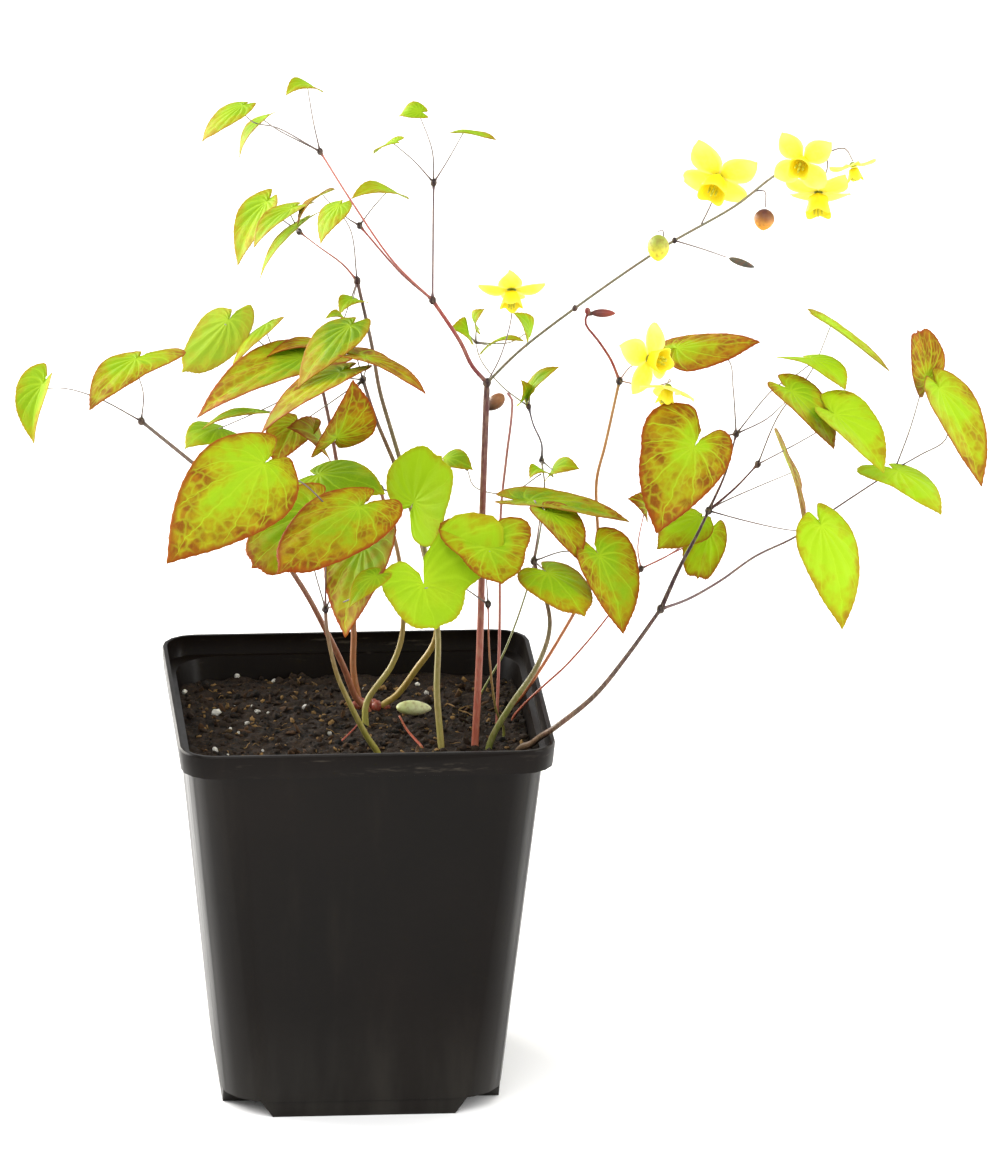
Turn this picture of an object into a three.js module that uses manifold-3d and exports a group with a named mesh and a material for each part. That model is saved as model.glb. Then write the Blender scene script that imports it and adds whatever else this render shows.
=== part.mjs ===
// Barrenwort in a square nursery pot: a thin black pot filled with potting mix, and wiry stalks
// that divide by threes into heart-shaped leaflets, with a nodding spray of pale yellow flowers.
// Millimetres, +Z up, the pot's front face towards -Y, the origin at the middle of the pot's foot.
import * as THREE from 'three';
import { mergeVertices } from 'three/addons/utils/BufferGeometryUtils.js';
import Module from 'manifold-3d';

const wasm = await Module();
wasm.setup();

// Pot
const POT_HEIGHT = 118;
const RIM_WIDTH = 110;
const RIM_CORNER = 10;
const RIM_BAND = 7;
const LIP_ROUND = 0.6;
const RIM_DRAFT = 1;
const RIM_WALL = 1.4;
const BODY_TOP_WIDTH = 104.6;
const BODY_BOTTOM_WIDTH = 83.3;
const BODY_CORNER = 15;
const WALL = 1.1;
const FOOT_HEIGHT = 5;
const FOOT_WIDTH = 82;
const FOOT_FLAT = 54;
const FOOT_SPREAD = 61;
const DRAIN_RADIUS = 2.9;
const DRAIN_OFFSET = 33.4;
const DRAIN_SIDES = 8;
const CORNER_STEPS = 4;
const OVERLAP = 0.5;

// Soil
const SOIL_DROP = 13;
const SOIL_GAP = 0.35;
const CRUMB_CELLS = 10;
const CRUMB_HEIGHT = 1.8;
const CRUMB_JITTER = 0.6;
const CRUMB_FLOOR = -1;
const ROOTED_DEPTH = 7;
const HOLE_CLEARANCE = 0.4;
const HOLE_END = 1.6;

// Plant
const STEM_SIDES = 5;
const STALKLET_SIDES = 3;
const STEM_RADIUS = 0.9;
const FLOWER_STEM_RADIUS = 1.1;
const THIN_STEM_RADIUS = 0.7;
const STALKLET_RADIUS = 0.55;
const STALKLET_SUNK = 0.06;
const THREAD_RADIUS = 0.5;
const NODE_SWELLING = 1.5;
const SMALL_SWELLING = 1.1;
const STEP_ALONG_STEM = 16;
const STEP_ALONG_STALKLET = 15;
const BLADE_THICKNESS = 0.7;
const FOLD_ROUNDNESS = 0.06;
const LOBE_STARTS = 60;
const LOBE_FULL = 130;

// Flowers and buds
const CORE_TOP_RADIUS = 1.4;
const CORE_FOOT_RADIUS = 1.2;
const CORE_HEIGHT = 1;
const CORE_SIDES = 6;
const SEPAL_START = 0.8;
const SEPAL_LENGTH = 9;
const SEPAL_WIDTH = 6.5;
const SEPAL_RIDGE = 0.4;
const CUP_GAP = 0.3;
const CUP_DEPTH = 5;
const CUP_MOUTH = 3.2;
const CUP_FOOT = 1.3;
const CUP_SWELL = 0.8;
const CUP_LIP = 0.6;
const CUP_WALL = 0.9;
const CUP_SIDES = 8;
const BUD_PROFILE = [[0, 0], [0.55, 0.08], [1, 0.4], [0.75, 0.75], [0, 1]];
const BUD_SIDES = 6;

// The plant is set out as it is seen from the front and a little above: across, up, and back.
// Across and up are millimetres in the picture plane through the pot's foot, and back is the
// level distance behind the pot's middle. The picture is taken from afar, slightly to the left.
const VIEW_TILT = THREE.MathUtils.degToRad(18.87);
const VIEW_TURN = THREE.MathUtils.degToRad(4.89);
const VIEW_DISTANCE = 3675;
const VIEW_AXIS_ACROSS = 42;
const VIEW_AXIS_UP = 144;

const TO_VIEWER = new THREE.Vector3(
  -Math.sin(VIEW_TURN) * Math.cos(VIEW_TILT),
  -Math.cos(VIEW_TURN) * Math.cos(VIEW_TILT),
  Math.sin(VIEW_TILT),
);

function seen([across, up, back]) {
  const offAxisAcross = across - VIEW_AXIS_ACROSS;
  const offAxisUp = up - VIEW_AXIS_UP;
  const cos = Math.cos(VIEW_TILT);
  const sin = Math.sin(VIEW_TILT);
  const height =
    (offAxisUp * (1 + (back * cos) / VIEW_DISTANCE) + VIEW_AXIS_UP - back * sin) /
    (cos + (offAxisUp * sin) / VIEW_DISTANCE);
  const away = back * cos - height * sin;
  const level = VIEW_AXIS_ACROSS + offAxisAcross * (1 + away / VIEW_DISTANCE);
  return new THREE.Vector3(
    level * Math.cos(VIEW_TURN) + back * Math.sin(VIEW_TURN),
    -level * Math.sin(VIEW_TURN) + back * Math.cos(VIEW_TURN),
    height,
  );
}

// Looks
function look(colour, roughness, metalness = 0) {
  return new THREE.MeshStandardMaterial({ color: colour, roughness, metalness });
}
const LOOKS = {
  pot: look('#25221f', 0.45),
  soil: look('#2c211b', 1),
  leaf: look('#8fbf2a', 0.5),
  bronze: look('#a8602a', 0.5),
  redStem: look('#8a4438', 0.5),
  sepal: look('#f3efa6', 0.55),
  cup: look('#f2dc3c', 0.5),
  bud: look('#a54a2a', 0.5),
};

// Solids
function solidOf(geometry) {
  const bare = geometry.clone();
  bare.deleteAttribute('normal');
  bare.deleteAttribute('uv');
  const merged = mergeVertices(bare, 1e-4);
  const corners = merged.index.array;
  const triVerts = [];
  for (let i = 0; i < corners.length; i += 3) {
    const [a, b, c] = [corners[i], corners[i + 1], corners[i + 2]];
    if (a !== b && b !== c && c !== a) triVerts.push(a, b, c);
  }
  return new wasm.Manifold(new wasm.Mesh({
    numProp: 3,
    vertProperties: new Float32Array(merged.attributes.position.array),
    triVerts: new Uint32Array(triVerts),
  }));
}

function fuse(solids) {
  return solids.reduce((whole, next) => whole.add(next));
}

function largestBody(solid) {
  return solid.decompose().sort((a, b) => b.volume() - a.volume())[0];
}

function mesh(name, solid, material) {
  const { vertProperties, triVerts, numProp } = largestBody(solid).getMesh();
  const positions = [];
  for (let i = 0; i < vertProperties.length; i += numProp) {
    positions.push(vertProperties[i], vertProperties[i + 1], vertProperties[i + 2]);
  }
  const geometry = new THREE.BufferGeometry();
  geometry.setAttribute('position', new THREE.Float32BufferAttribute(positions, 3));
  geometry.setIndex([...triVerts]);
  geometry.computeVertexNormals();
  const piece = new THREE.Mesh(geometry, material);
  piece.name = name;
  return piece;
}

function surface(points, faces) {
  const geometry = new THREE.BufferGeometry();
  const flat = points.flatMap((p) => [p.x, p.y, p.z]);
  geometry.setAttribute('position', new THREE.Float32BufferAttribute(flat, 3));
  geometry.setIndex(faces.flat());
  return geometry;
}

// A closed skin over rings of equally many points, from the lowest ring up, with flat ends.
function loft(rings) {
  const count = rings[0].length;
  const faces = [];
  for (let r = 0; r + 1 < rings.length; r += 1) {
    for (let i = 0; i < count; i += 1) {
      const a = r * count + i;
      const b = r * count + ((i + 1) % count);
      faces.push([a, b, b + count], [a, b + count, a + count]);
    }
  }
  const top = (rings.length - 1) * count;
  for (let i = 1; i + 1 < count; i += 1) {
    faces.push([0, i + 1, i], [top, top + i, top + i + 1]);
  }
  return solidOf(surface(rings.flat(), faces));
}

function roundedSquare(width, corner, z) {
  const half = width / 2 - corner;
  const centres = [[1, 1], [-1, 1], [-1, -1], [1, -1]];
  return centres.flatMap(([sx, sy], quarter) =>
    Array.from({ length: CORNER_STEPS + 1 }, (_, step) => {
      const angle = (quarter + step / CORNER_STEPS) * (Math.PI / 2);
      return new THREE.Vector3(
        sx * half + corner * Math.cos(angle),
        sy * half + corner * Math.sin(angle),
        z,
      );
    }));
}

function bodyWidthAt(z) {
  const share = (z - FOOT_HEIGHT) / (POT_HEIGHT - RIM_BAND - FOOT_HEIGHT);
  return BODY_BOTTOM_WIDTH + (BODY_TOP_WIDTH - BODY_BOTTOM_WIDTH) * share;
}

function bodyLoft(inset, lowZ, highZ) {
  const corner = BODY_CORNER - inset;
  return loft([
    roundedSquare(bodyWidthAt(lowZ) - 2 * inset, corner, lowZ),
    roundedSquare(bodyWidthAt(highZ) - 2 * inset, corner, highZ),
  ]);
}

// A bar across the foot whose sides spread a little as they rise.
function footBar(alongX, inset, lowZ, highZ) {
  const ring = (z) => {
    const long = FOOT_WIDTH / 2 - inset;
    const short = (FOOT_FLAT + ((FOOT_SPREAD - FOOT_FLAT) * z) / FOOT_HEIGHT) / 2 - inset;
    const [x, y] = alongX ? [long, short] : [short, long];
    return [[x, -y], [x, y], [-x, y], [-x, -y]].map(([px, py]) => new THREE.Vector3(px, py, z));
  };
  return loft([ring(lowZ), ring(highZ)]);
}

function foot(inset, lowZ, highZ) {
  return footBar(true, inset, lowZ, highZ).add(footBar(false, inset, lowZ, highZ));
}

function rimLoft(inset, lowZ, highZ) {
  const width = RIM_WIDTH - 2 * inset;
  const corner = RIM_CORNER - inset;
  return loft([
    roundedSquare(width - RIM_DRAFT, corner, lowZ),
    roundedSquare(width, corner, highZ - LIP_ROUND),
    roundedSquare(width - LIP_ROUND, corner, highZ),
  ]);
}

function post(x, y, lowZ, highZ) {
  const geometry = new THREE.CylinderGeometry(DRAIN_RADIUS, DRAIN_RADIUS, highZ - lowZ, DRAIN_SIDES);
  geometry.rotateX(Math.PI / 2);
  geometry.translate(x, y, (lowZ + highZ) / 2);
  return solidOf(geometry);
}

function pot() {
  const bandFoot = POT_HEIGHT - RIM_BAND;
  const floorTop = FOOT_HEIGHT + WALL;
  const outside = fuse([
    foot(0, 0, FOOT_HEIGHT + OVERLAP),
    bodyLoft(0, FOOT_HEIGHT, bandFoot + WALL),
    rimLoft(0, bandFoot, POT_HEIGHT),
  ]);
  const inside = fuse([
    foot(WALL, WALL, floorTop + OVERLAP),
    bodyLoft(WALL, floorTop, bandFoot + WALL + OVERLAP),
    rimLoft(RIM_WALL, bandFoot + WALL, POT_HEIGHT + OVERLAP),
  ]);
  const drains = [[1, 1], [-1, 1], [-1, -1], [1, -1]].map(([sx, sy]) =>
    post(sx * DRAIN_OFFSET, sy * DRAIN_OFFSET, FOOT_HEIGHT - OVERLAP, floorTop + OVERLAP));
  return mesh('pot', outside.subtract(inside).subtract(fuse(drains)), LOOKS.pot);
}

// Stalks and blades
function stalk(route, radius, sides = STEM_SIDES, stepLength = STEP_ALONG_STEM) {
  const curve = new THREE.CatmullRomCurve3(route.map(seen), false, 'centripetal');
  const outline = new THREE.Shape();
  for (let i = 0; i < sides; i += 1) {
    const angle = (i / sides) * Math.PI * 2;
    const x = radius * Math.cos(angle);
    const y = radius * Math.sin(angle);
    if (i === 0) outline.moveTo(x, y);
    else outline.lineTo(x, y);
  }
  const steps = Math.max(2, Math.round(curve.getLength() / stepLength));
  return solidOf(new THREE.ExtrudeGeometry(outline, { steps, extrudePath: curve, bevelEnabled: false }));
}

function thread(route, radius) {
  return stalk(route, radius, STALKLET_SIDES, STEP_ALONG_STALKLET);
}

function swelling(place, radius = NODE_SWELLING) {
  const geometry = new THREE.OctahedronGeometry(radius);
  const { x, y, z } = seen(place);
  geometry.translate(x, y, z);
  return solidOf(geometry);
}

// The leaflet's outline: its reach from the top of its stalklet, as a share of the way to its tip,
// by the angle from the midrib. It narrows to a point, and two lobes reach back past the stalklet.
const OUTLINE = [[0, 1], [22, 0.74], [50, 0.58], [85, 0.5], [120, 0.45], [150, 0.36], [172, 0.15]];
const WIDE_BLADE = 20;
const BLUNT_LOSS = 0.3;
const BLUNT_ANGLE = 16;
const SPOKES = [
  ...OUTLINE.slice(1).reverse().map(([angle, reach]) => [-angle, reach]),
  ...OUTLINE,
];

function bladeFrame(leaflet) {
  const base = seen(leaflet.base);
  const along = seen(leaflet.tip).sub(base);
  const length = along.length();
  along.normalize();
  const face = TO_VIEWER.clone().addScaledVector(along, -TO_VIEWER.dot(along)).normalize();
  face.applyAxisAngle(along, THREE.MathUtils.degToRad(leaflet.roll));
  const side = new THREE.Vector3().crossVectors(face, along);
  return { base, along, side, face, length };
}

// roll turns the blade about its midrib, fold lifts both halves off the midrib, arch bows the blade
// between its stalklet and its tip, skew makes one lobe longer, wave ruffles the margin, and blunt
// rounds off the tip.
function bladePoint(leaflet, frame, angle, fullReach, lift) {
  const turn = THREE.MathUtils.degToRad(angle);
  const reach = fullReach * (1 - leaflet.blunt * BLUNT_LOSS * Math.exp(-((angle / BLUNT_ANGLE) ** 2)));
  const behind = THREE.MathUtils.smoothstep(Math.abs(angle), LOBE_STARTS, LOBE_FULL);
  const lobe = 1 + behind * (leaflet.lobes - 1 + leaflet.skew * Math.sign(angle));
  const t = reach * Math.cos(turn) * lobe;
  const s = reach * Math.sin(turn) * lobe * leaflet.width;
  const soft = FOLD_ROUNDNESS * leaflet.width;
  const folded = Math.tan(THREE.MathUtils.degToRad(leaflet.fold)) * (Math.hypot(s, soft) - soft);
  const arched = 4 * leaflet.arch * t * (1 - t);
  const waved = leaflet.wave * reach * reach * Math.sin(4 * turn);
  return frame.base.clone()
    .addScaledVector(frame.along, t * frame.length)
    .addScaledVector(frame.side, s)
    .addScaledVector(frame.face, folded + arched + waved + lift);
}

function blade(leaflet) {
  const frame = bladeFrame(leaflet);
  const half = BLADE_THICKNESS / 2;
  const rings = leaflet.width < WIDE_BLADE ? [1] : [0.5, 1];
  const points = [];
  for (const lift of [half, -half]) {
    points.push(bladePoint(leaflet, frame, 0, 0, lift));
    for (const ring of rings) {
      for (const [angle, reach] of SPOKES) {
        points.push(bladePoint(leaflet, frame, angle, reach * ring, lift));
      }
    }
  }
  const count = SPOKES.length;
  const under = points.length / 2;
  const rim = 1 + count * (rings.length - 1);
  const faces = [];
  const both = (a, b, c) => faces.push([a, b, c], [under + a, under + c, under + b]);
  for (let i = 0; i + 1 < count; i += 1) {
    const inner = 1 + i;
    const outer = rim + i;
    both(0, inner, inner + 1);
    if (rings.length > 1) both(inner, outer, outer + 1);
    if (rings.length > 1) both(inner, outer + 1, inner + 1);
  }
  const edge = [0];
  if (rings.length > 1) edge.push(1);
  for (let i = 0; i < count; i += 1) edge.push(rim + i);
  if (rings.length > 1) edge.push(count);
  for (let i = 0; i < edge.length; i += 1) {
    const a = edge[i];
    const b = edge[(i + 1) % edge.length];
    faces.push([a, under + a, under + b], [a, under + b, b]);
  }
  return solidOf(surface(points, faces));
}

const PLAIN_LEAFLET = {
  width: 20, roll: 0, fold: 8, arch: 1.5, skew: 0.1, wave: 0.5, lobes: 1, blunt: 0,
};

// A leaflet on its stalklet, which leaves a joint and ends a little inside the blade.
function leaflet(from, base, tip, traits = {}) {
  const sunk = base.map((value, i) => value + (tip[i] - value) * STALKLET_SUNK);
  return [
    blade({ ...PLAIN_LEAFLET, ...traits, base, tip }),
    thread([...from, sunk], STALKLET_RADIUS),
  ];
}

// Each rooted stem leaves its line here, so that the soil can have a hole for it.
const rootedLines = [];

function rootedStem(surfaceRoute, radius) {
  const [across, up, back] = surfaceRoute[0];
  const route = [[across, up - ROOTED_DEPTH, back], ...surfaceRoute];
  rootedLines.push({ route, radius });
  return stalk(route, radius);
}

function plantPiece(name, material, solids) {
  return mesh(name, fuse(solids.flat(Infinity)), material);
}

// The tall flowering stem forks at a dark joint: a compound leaf to the left, the spray to the right.
function floweringStem() {
  const fork = [37.5, 204, -10];
  const leafJoint = [21, 228.5, -8];
  const topJoint = [21, 263.5, -5];
  const farJoint = [-13, 272.5, -18];
  const nearJoint = [-1, 250.5, -7];
  return plantPiece('flowering_stem', LOOKS.redStem, [
    rootedStem([[35, 94.5, -15], [36, 120, -14], [36.5, 145, -13], [36.5, 163, -12], fork],
      FLOWER_STEM_RADIUS),
    stalk([fork, [33, 209, -10], [29.5, 216, -9], leafJoint], STEM_RADIUS),
    stalk([leafJoint, [21, 246, -6], topJoint], THIN_STEM_RADIUS),
    stalk([leafJoint, [9.5, 239.5, -10], [-3, 257, -14], farJoint], THIN_STEM_RADIUS),
    stalk([leafJoint, [12, 236, -8], nearJoint], THIN_STEM_RADIUS),
    [[36.5, 139.5, -13], fork, leafJoint, topJoint, farJoint, nearJoint].map((p) => swelling(p)),
    leaflet([topJoint, [20.5, 273, -4]], [16.5, 284.7, -3], [10.7, 283.1, 2],
      { width: 6, roll: 45, fold: 12, lobes: 0.8 }),
    leaflet([topJoint, [25, 270, -6]], [29, 278.5, -7], [39.5, 276.5, -12],
      { width: 8, roll: -78, arch: 0.5 }),
    leaflet([topJoint, [15, 270, -4]], [9, 275.5, -3], [3, 272, 3],
      { width: 7, roll: 84, arch: 0.5 }),
    leaflet([farJoint, [-15, 281, -17]], [-16.6, 292.3, -16], [-23.4, 289, -21],
      { width: 8, roll: 50, lobes: 1.1 }),
    leaflet([farJoint, [-26, 279, -20]], [-29.5, 282.5, -20], [-37, 270.5, -26],
      { width: 12, roll: 73, lobes: 0.5 }),
    leaflet([farJoint, [-26, 279.5, -22], [-33, 281, -25]], [-36.3, 285.8, -26], [-49.5, 273, -32],
      { width: 14, roll: 62, fold: -2, lobes: 0.5, blunt: 0.4 }),
    leaflet([nearJoint, [-5, 253, -9]], [-7, 256.5, -10], [-12.5, 245, -15],
      { width: 12, roll: 51, fold: -3, lobes: 0.6 }),
    leaflet([nearJoint, [3, 256, -5]], [8, 261, -4], [-3.5, 258.5, -12], { width: 11, roll: 62 }),
    sprayStalks(fork),
  ]);
}

// The spray's stalk leaves the fork and hangs its flowers on short threads.
function sprayStalks(fork) {
  return [
    stalk([fork, [47, 213.5, -12], [63.5, 226.5, -15], [83, 240.5, -18], [93, 247, -19],
      [111, 257.5, -21], [124, 267.5, -23], [137.5, 273.5, -24]], THIN_STEM_RADIUS),
    thread([fork, [41.5, 212, -3], [44.5, 223, 2], [44.8, 231, 1.5], [44.8, 234.5, -4], [44.6, 233, -9.6]],
      THREAD_RADIUS),
    thread([[93, 247, -19], [101, 244.7, -20], [108.5, 242.2, -21]], THREAD_RADIUS),
    thread([[101, 252, -20], [104, 258.5, -13], [106.3, 267.3, -20.2]], THREAD_RADIUS),
    thread([[117, 262, -22], [119.8, 262, -22], [120, 257.2, -22]], THREAD_RADIUS),
    thread([[127, 269.5, -23], [128.5, 272.5, -25.5], [130.9, 271.6, -28.1]], THREAD_RADIUS),
    thread([[137.5, 273.5, -24], [138.5, 270, -20], [137.5, 266.5, -17], [135.8, 263.1, -15.4]],
      THREAD_RADIUS),
    thread([[137.5, 273.5, -24], [143.5, 275, -23], [146, 271.2, -23.6]], THREAD_RADIUS),
    thread([[90, 245, -18.7], [89.5, 250, -20], [88.2, 249.6, -23]], THREAD_RADIUS),
    [[63.5, 226.5, -15], [93, 247, -19], [137.5, 273.5, -24]].map((p) => swelling(p, SMALL_SWELLING)),
  ];
}

// A second, red flowering stem with one open flower, a younger one and a dark bud.
function redFloweringStem() {
  const joint = [77, 205, 0];
  return plantPiece('red_flowering_stem', LOOKS.redStem, [
    rootedStem([[44.5, 105, 16], [49.5, 111.5, 11], [59, 126.5, 7], [69, 145.5, 6], [71, 154.5, 6],
      [70.5, 175, 5], [73, 186, 3], joint], THIN_STEM_RADIUS),
    stalk([joint, [74.5, 211, 0], [70.5, 217, 0], [66.8, 221.8, 0], [67.1, 224.4, 0]], THIN_STEM_RADIUS),
    thread([joint, [80, 209, -2], [84.6, 211.6, -4]], THREAD_RADIUS),
    thread([joint, [82, 204, 1], [88, 203.5, 3], [93, 205.5, 2], [92.5, 206.5, -5],
      [91.6, 204.6, -9.2]], THREAD_RADIUS),
    swelling(joint),
  ]);
}

function pinkBudStem() {
  return plantPiece('pink_bud_stem', LOOKS.redStem, [
    rootedStem([[41.5, 100.5, 4], [42, 130, 8], [42, 165, 14], [43.5, 181.5, 12], [45, 195, 8],
      [45, 199, 8], [43.7, 201, 8]], THIN_STEM_RADIUS),
  ]);
}

// Fronds, each a wiry stalk with its leaflets, from the left round to the right.
function leftFrond() {
  const joint = [-65.5, 191.5, -8];
  return plantPiece('frond_left', LOOKS.leaf, [
    rootedStem([[3.5, 105, 18], [-0.5, 109.5, 17], [-4.5, 119, 14], [-10, 130, 10], [-17, 142.5, 7],
      [-36, 168, 1], [-51, 180, -4], joint], STEM_RADIUS),
    swelling(joint),
    leaflet([joint, [-78, 198, -9], [-88, 201, -10]], [-95, 202, -10], [-97.5, 184.5, -18],
      { width: 14, roll: 49, fold: 25, skew: -0.3 }),
    leaflet([joint, [-65, 200, -6]], [-67.4, 209.9, -4], [-81, 194.5, -20],
      { width: 18, roll: 46, fold: 0, skew: 0.5, lobes: 1.15 }),
  ]);
}

function backLeftFrond() {
  const joint = [-12.5, 205.5, 34];
  const sideJoint = [-25, 210, 38];
  return plantPiece('frond_back_left', LOOKS.leaf, [
    rootedStem([[0.5, 107, 26], [-1.5, 118, 28], [-1.5, 130, 30], [-4, 160, 33], [-9, 190, 34], joint],
      STEM_RADIUS),
    stalk([joint, [-19, 206, 36], sideJoint], THIN_STEM_RADIUS),
    [joint, sideJoint].map((p) => swelling(p)),
    leaflet([sideJoint, [-31, 216, 42]], [-39.9, 221.8, 44], [-57, 203, 38],
      { width: 17, roll: 208, fold: 8, lobes: 0.7, blunt: 0.6, skew: -0.3 }),
    leaflet([sideJoint], [-28.5, 220.8, 40], [-38.8, 206.7, 30],
      { width: 13, roll: 70, fold: -9, lobes: 0.7 }),
    leaflet([joint, [-15, 206, 30]], [-17.3, 211, 26], [-49, 192.6, 12],
      { width: 23, roll: 55, fold: 8, arch: 3 }),
    leaflet([joint, [-24, 198, 28]], [-42.4, 189.5, 22], [-52.3, 183.5, 14],
      { width: 16, roll: 48, fold: -7 }),
    leaflet([joint, [-10, 211, 34]], [-13, 215, 34], [-28.3, 211, 26], { width: 10, roll: 66 }),
    leaflet([joint, [-22, 196, 30]], [-32, 195, 24], [-47.4, 189.2, 16], { width: 9, roll: 70, fold: 0 }),
  ]);
}

function topLeftFrond() {
  const joint = [-1.5, 234, 14];
  const farJoint = [-19, 248.5, 19];
  return plantPiece('frond_top_left', LOOKS.leaf, [
    rootedStem([[25, 94, -16], [23.5, 111.5, -12], [23.5, 130, -6], [18, 160, 2], [10, 186.5, 7],
      [5.5, 201.5, 10], [3, 215, 12], joint], STEM_RADIUS),
    stalk([joint, [-6, 239, 15], [-13, 244, 17], farJoint], THIN_STEM_RADIUS),
    [joint, farJoint].map((p) => swelling(p)),
    leaflet([farJoint, [-24, 252, 23]], [-28.8, 257.2, 26], [-37.2, 238.2, 18],
      { width: 16, roll: 51, fold: 10, skew: -0.1, lobes: 0.6 }),
    leaflet([farJoint], [-21.5, 255.3, 13], [-32.5, 243.5, 2], { width: 13, roll: 60 }),
    leaflet([farJoint], [-19.5, 250.5, 13], [-30.5, 234.5, 3], { width: 12, roll: 74, fold: 4 }),
    leaflet([joint, [-4, 250, 14]], [-11.5, 260, 13], [-19.5, 250.5, 5],
      { width: 12, roll: 80, lobes: 0.5 }),
    leaflet([joint], [-2.5, 228.5, 11], [-6.5, 224, 7], { width: 7, roll: 40, lobes: 1.3 }),
    leaflet([joint], [-5, 222.5, 16], [-11, 222.5, 12], { width: 6, roll: 60 }),
  ]);
}

function middleLeftFrond() {
  const joint = [0.5, 204.5, -2];
  return plantPiece('frond_middle_left', LOOKS.bronze, [
    rootedStem([[6, 106, 20], [11.5, 110.5, 20], [17, 118, 18], [23, 128, 16], [20, 150, 13],
      [12, 175, 7], [4, 194, 1], joint], STEM_RADIUS),
    swelling(joint),
    leaflet([joint, [-2, 213, 0]], [-3.6, 220.4, 1], [-18.8, 201.9, -10],
      { width: 19, roll: 50, fold: 0, lobes: 0.6 }),
    leaflet([joint], [-6.5, 206.5, -8], [-29.9, 188, -20],
      { width: 21, roll: 66, fold: 4, arch: 2, lobes: 0.8 }),
    leaflet([joint, [1, 206.5, -6]], [1.5, 211, -9], [19.3, 200.5, -18],
      { width: 13, roll: -70, fold: 4, skew: 0.4, lobes: 1.5 }),
    leaflet([joint, [2, 194, -8]], [-7, 187.5, -12], [-2.5, 204.5, -18], { width: 20, roll: 43, fold: 20 }),
    leaflet([joint, [-6, 196, -4]], [-12, 186, -8], [-22, 190, -14], { width: 14, roll: 54 }),
    leaflet([joint, [-10, 197, -2]], [-19.4, 191, -4], [-25.5, 178.6, -14], { width: 15, roll: 25 }),
  ]);
}

function innerFrond() {
  const joint = [6, 172, -4];
  return plantPiece('frond_inner', LOOKS.leaf, [
    rootedStem([[2.5, 99.5, 2], [2.5, 108, 4], [10, 119.5, 6], [13, 129, 6], [12, 150, 2], joint],
      STEM_RADIUS),
    swelling(joint),
    leaflet([joint, [-3, 175, -6]], [-12, 176, -10], [7.5, 170.5, -22],
      { width: 20, roll: -45, fold: -8, skew: -0.2 }),
    leaflet([joint], [16.2, 168.4, -12], [28.2, 188.4, -20],
      { width: 23, roll: -20, fold: 10, lobes: 1.05, arch: 1, blunt: 1, skew: -0.25 }),
  ]);
}

function frontLeftFrond() {
  const joint = [-10, 136, -36];
  const topJoint = [-9, 166, -38];
  return plantPiece('frond_front_left', LOOKS.leaf, [
    rootedStem([[6.5, 92, -22], [2.5, 98.5, -25], [-2.5, 108, -29], [-6.5, 117, -32], [-9.5, 130, -35],
      joint], STEM_RADIUS),
    stalk([joint, [-10, 150, -36], topJoint], THIN_STEM_RADIUS),
    [joint, topJoint].map((p) => swelling(p)),
    leaflet([topJoint, [-18, 174, -38]], [-29, 179, -40], [-57.5, 149, -58],
      { width: 34, roll: 22, fold: -6, arch: 3, skew: -0.1, lobes: 0.65 }),
    leaflet([joint, [-14, 150, -34]], [-15, 164.5, -33], [-37, 142, -40],
      { width: 26, roll: 34, fold: -4, blunt: 0.8 }),
    leaflet([topJoint], [-0.4, 166.4, -42], [-28.6, 141.6, -60],
      { width: 27, roll: 36, fold: -8, arch: 2.5, blunt: 0.5, lobes: 0.8 }),
    leaflet([joint, [-4, 148, -36]], [1.2, 155, -37], [-4, 127.5, -46], { width: 26, roll: 46, fold: 5 }),
    leaflet([joint, [-1, 140, -46]], [4.6, 145.7, -52], [-3, 136.4, -56], { width: 8, roll: 30 }),
  ]);
}

function frontMiddleFrond() {
  const joint = [38.5, 138, -20];
  return plantPiece('frond_front_middle', LOOKS.leaf, [
    rootedStem([[43.5, 101, -2], [41.5, 105.5, -6], [40, 113.5, -12], [39, 124, -17], joint],
      THIN_STEM_RADIUS),
    swelling(joint),
    leaflet([joint, [28, 144, -26]], [19.3, 143.5, -31], [24.8, 126.5, -41],
      { width: 24, roll: -20, fold: 9, skew: 0.75, lobes: 2.05, arch: -1.2, blunt: 0.8 }),
    leaflet([joint, [38, 147, -22]], [38.5, 154.5, -24], [43.5, 142.5, -38],
      { width: 20.5, roll: -25, fold: 13, lobes: 1.7, arch: -0.8, skew: -0.1, blunt: 0.5 }),
  ]);
}

function rightOfMiddleFrond() {
  const joint = [52, 151, -14];
  const highJoint = [54, 166, -6];
  return plantPiece('frond_right_of_middle', LOOKS.leaf, [
    rootedStem([[39, 94.5, -15], [41, 100, -16], [46, 108.5, -18], [53.5, 120, -20], [57, 132.5, -20],
      joint], STEM_RADIUS),
    stalk([joint, [53, 158, -10], highJoint], THIN_STEM_RADIUS),
    [joint, highJoint].map((p) => swelling(p)),
    leaflet([joint], [56.5, 147.2, -20], [68.7, 132.3, -34], { width: 22, roll: -45, fold: -8, blunt: 0.4 }),
    leaflet([joint, [62, 154, -12]], [71.5, 152.5, -14], [79, 129.5, -26],
      { width: 20, roll: -33, fold: 17, skew: 0.2 }),
    leaflet([highJoint], [56.5, 165.2, -9], [65.5, 151.2, -19],
      { width: 19, roll: -54, fold: 8, lobes: 0.9 }),
    leaflet([highJoint, [52, 169, -2]], [50.8, 168.9, 2], [80.5, 163, -6],
      { width: 20, roll: -72, fold: 8, arch: 1, lobes: 1.1 }),
  ]);
}

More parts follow.
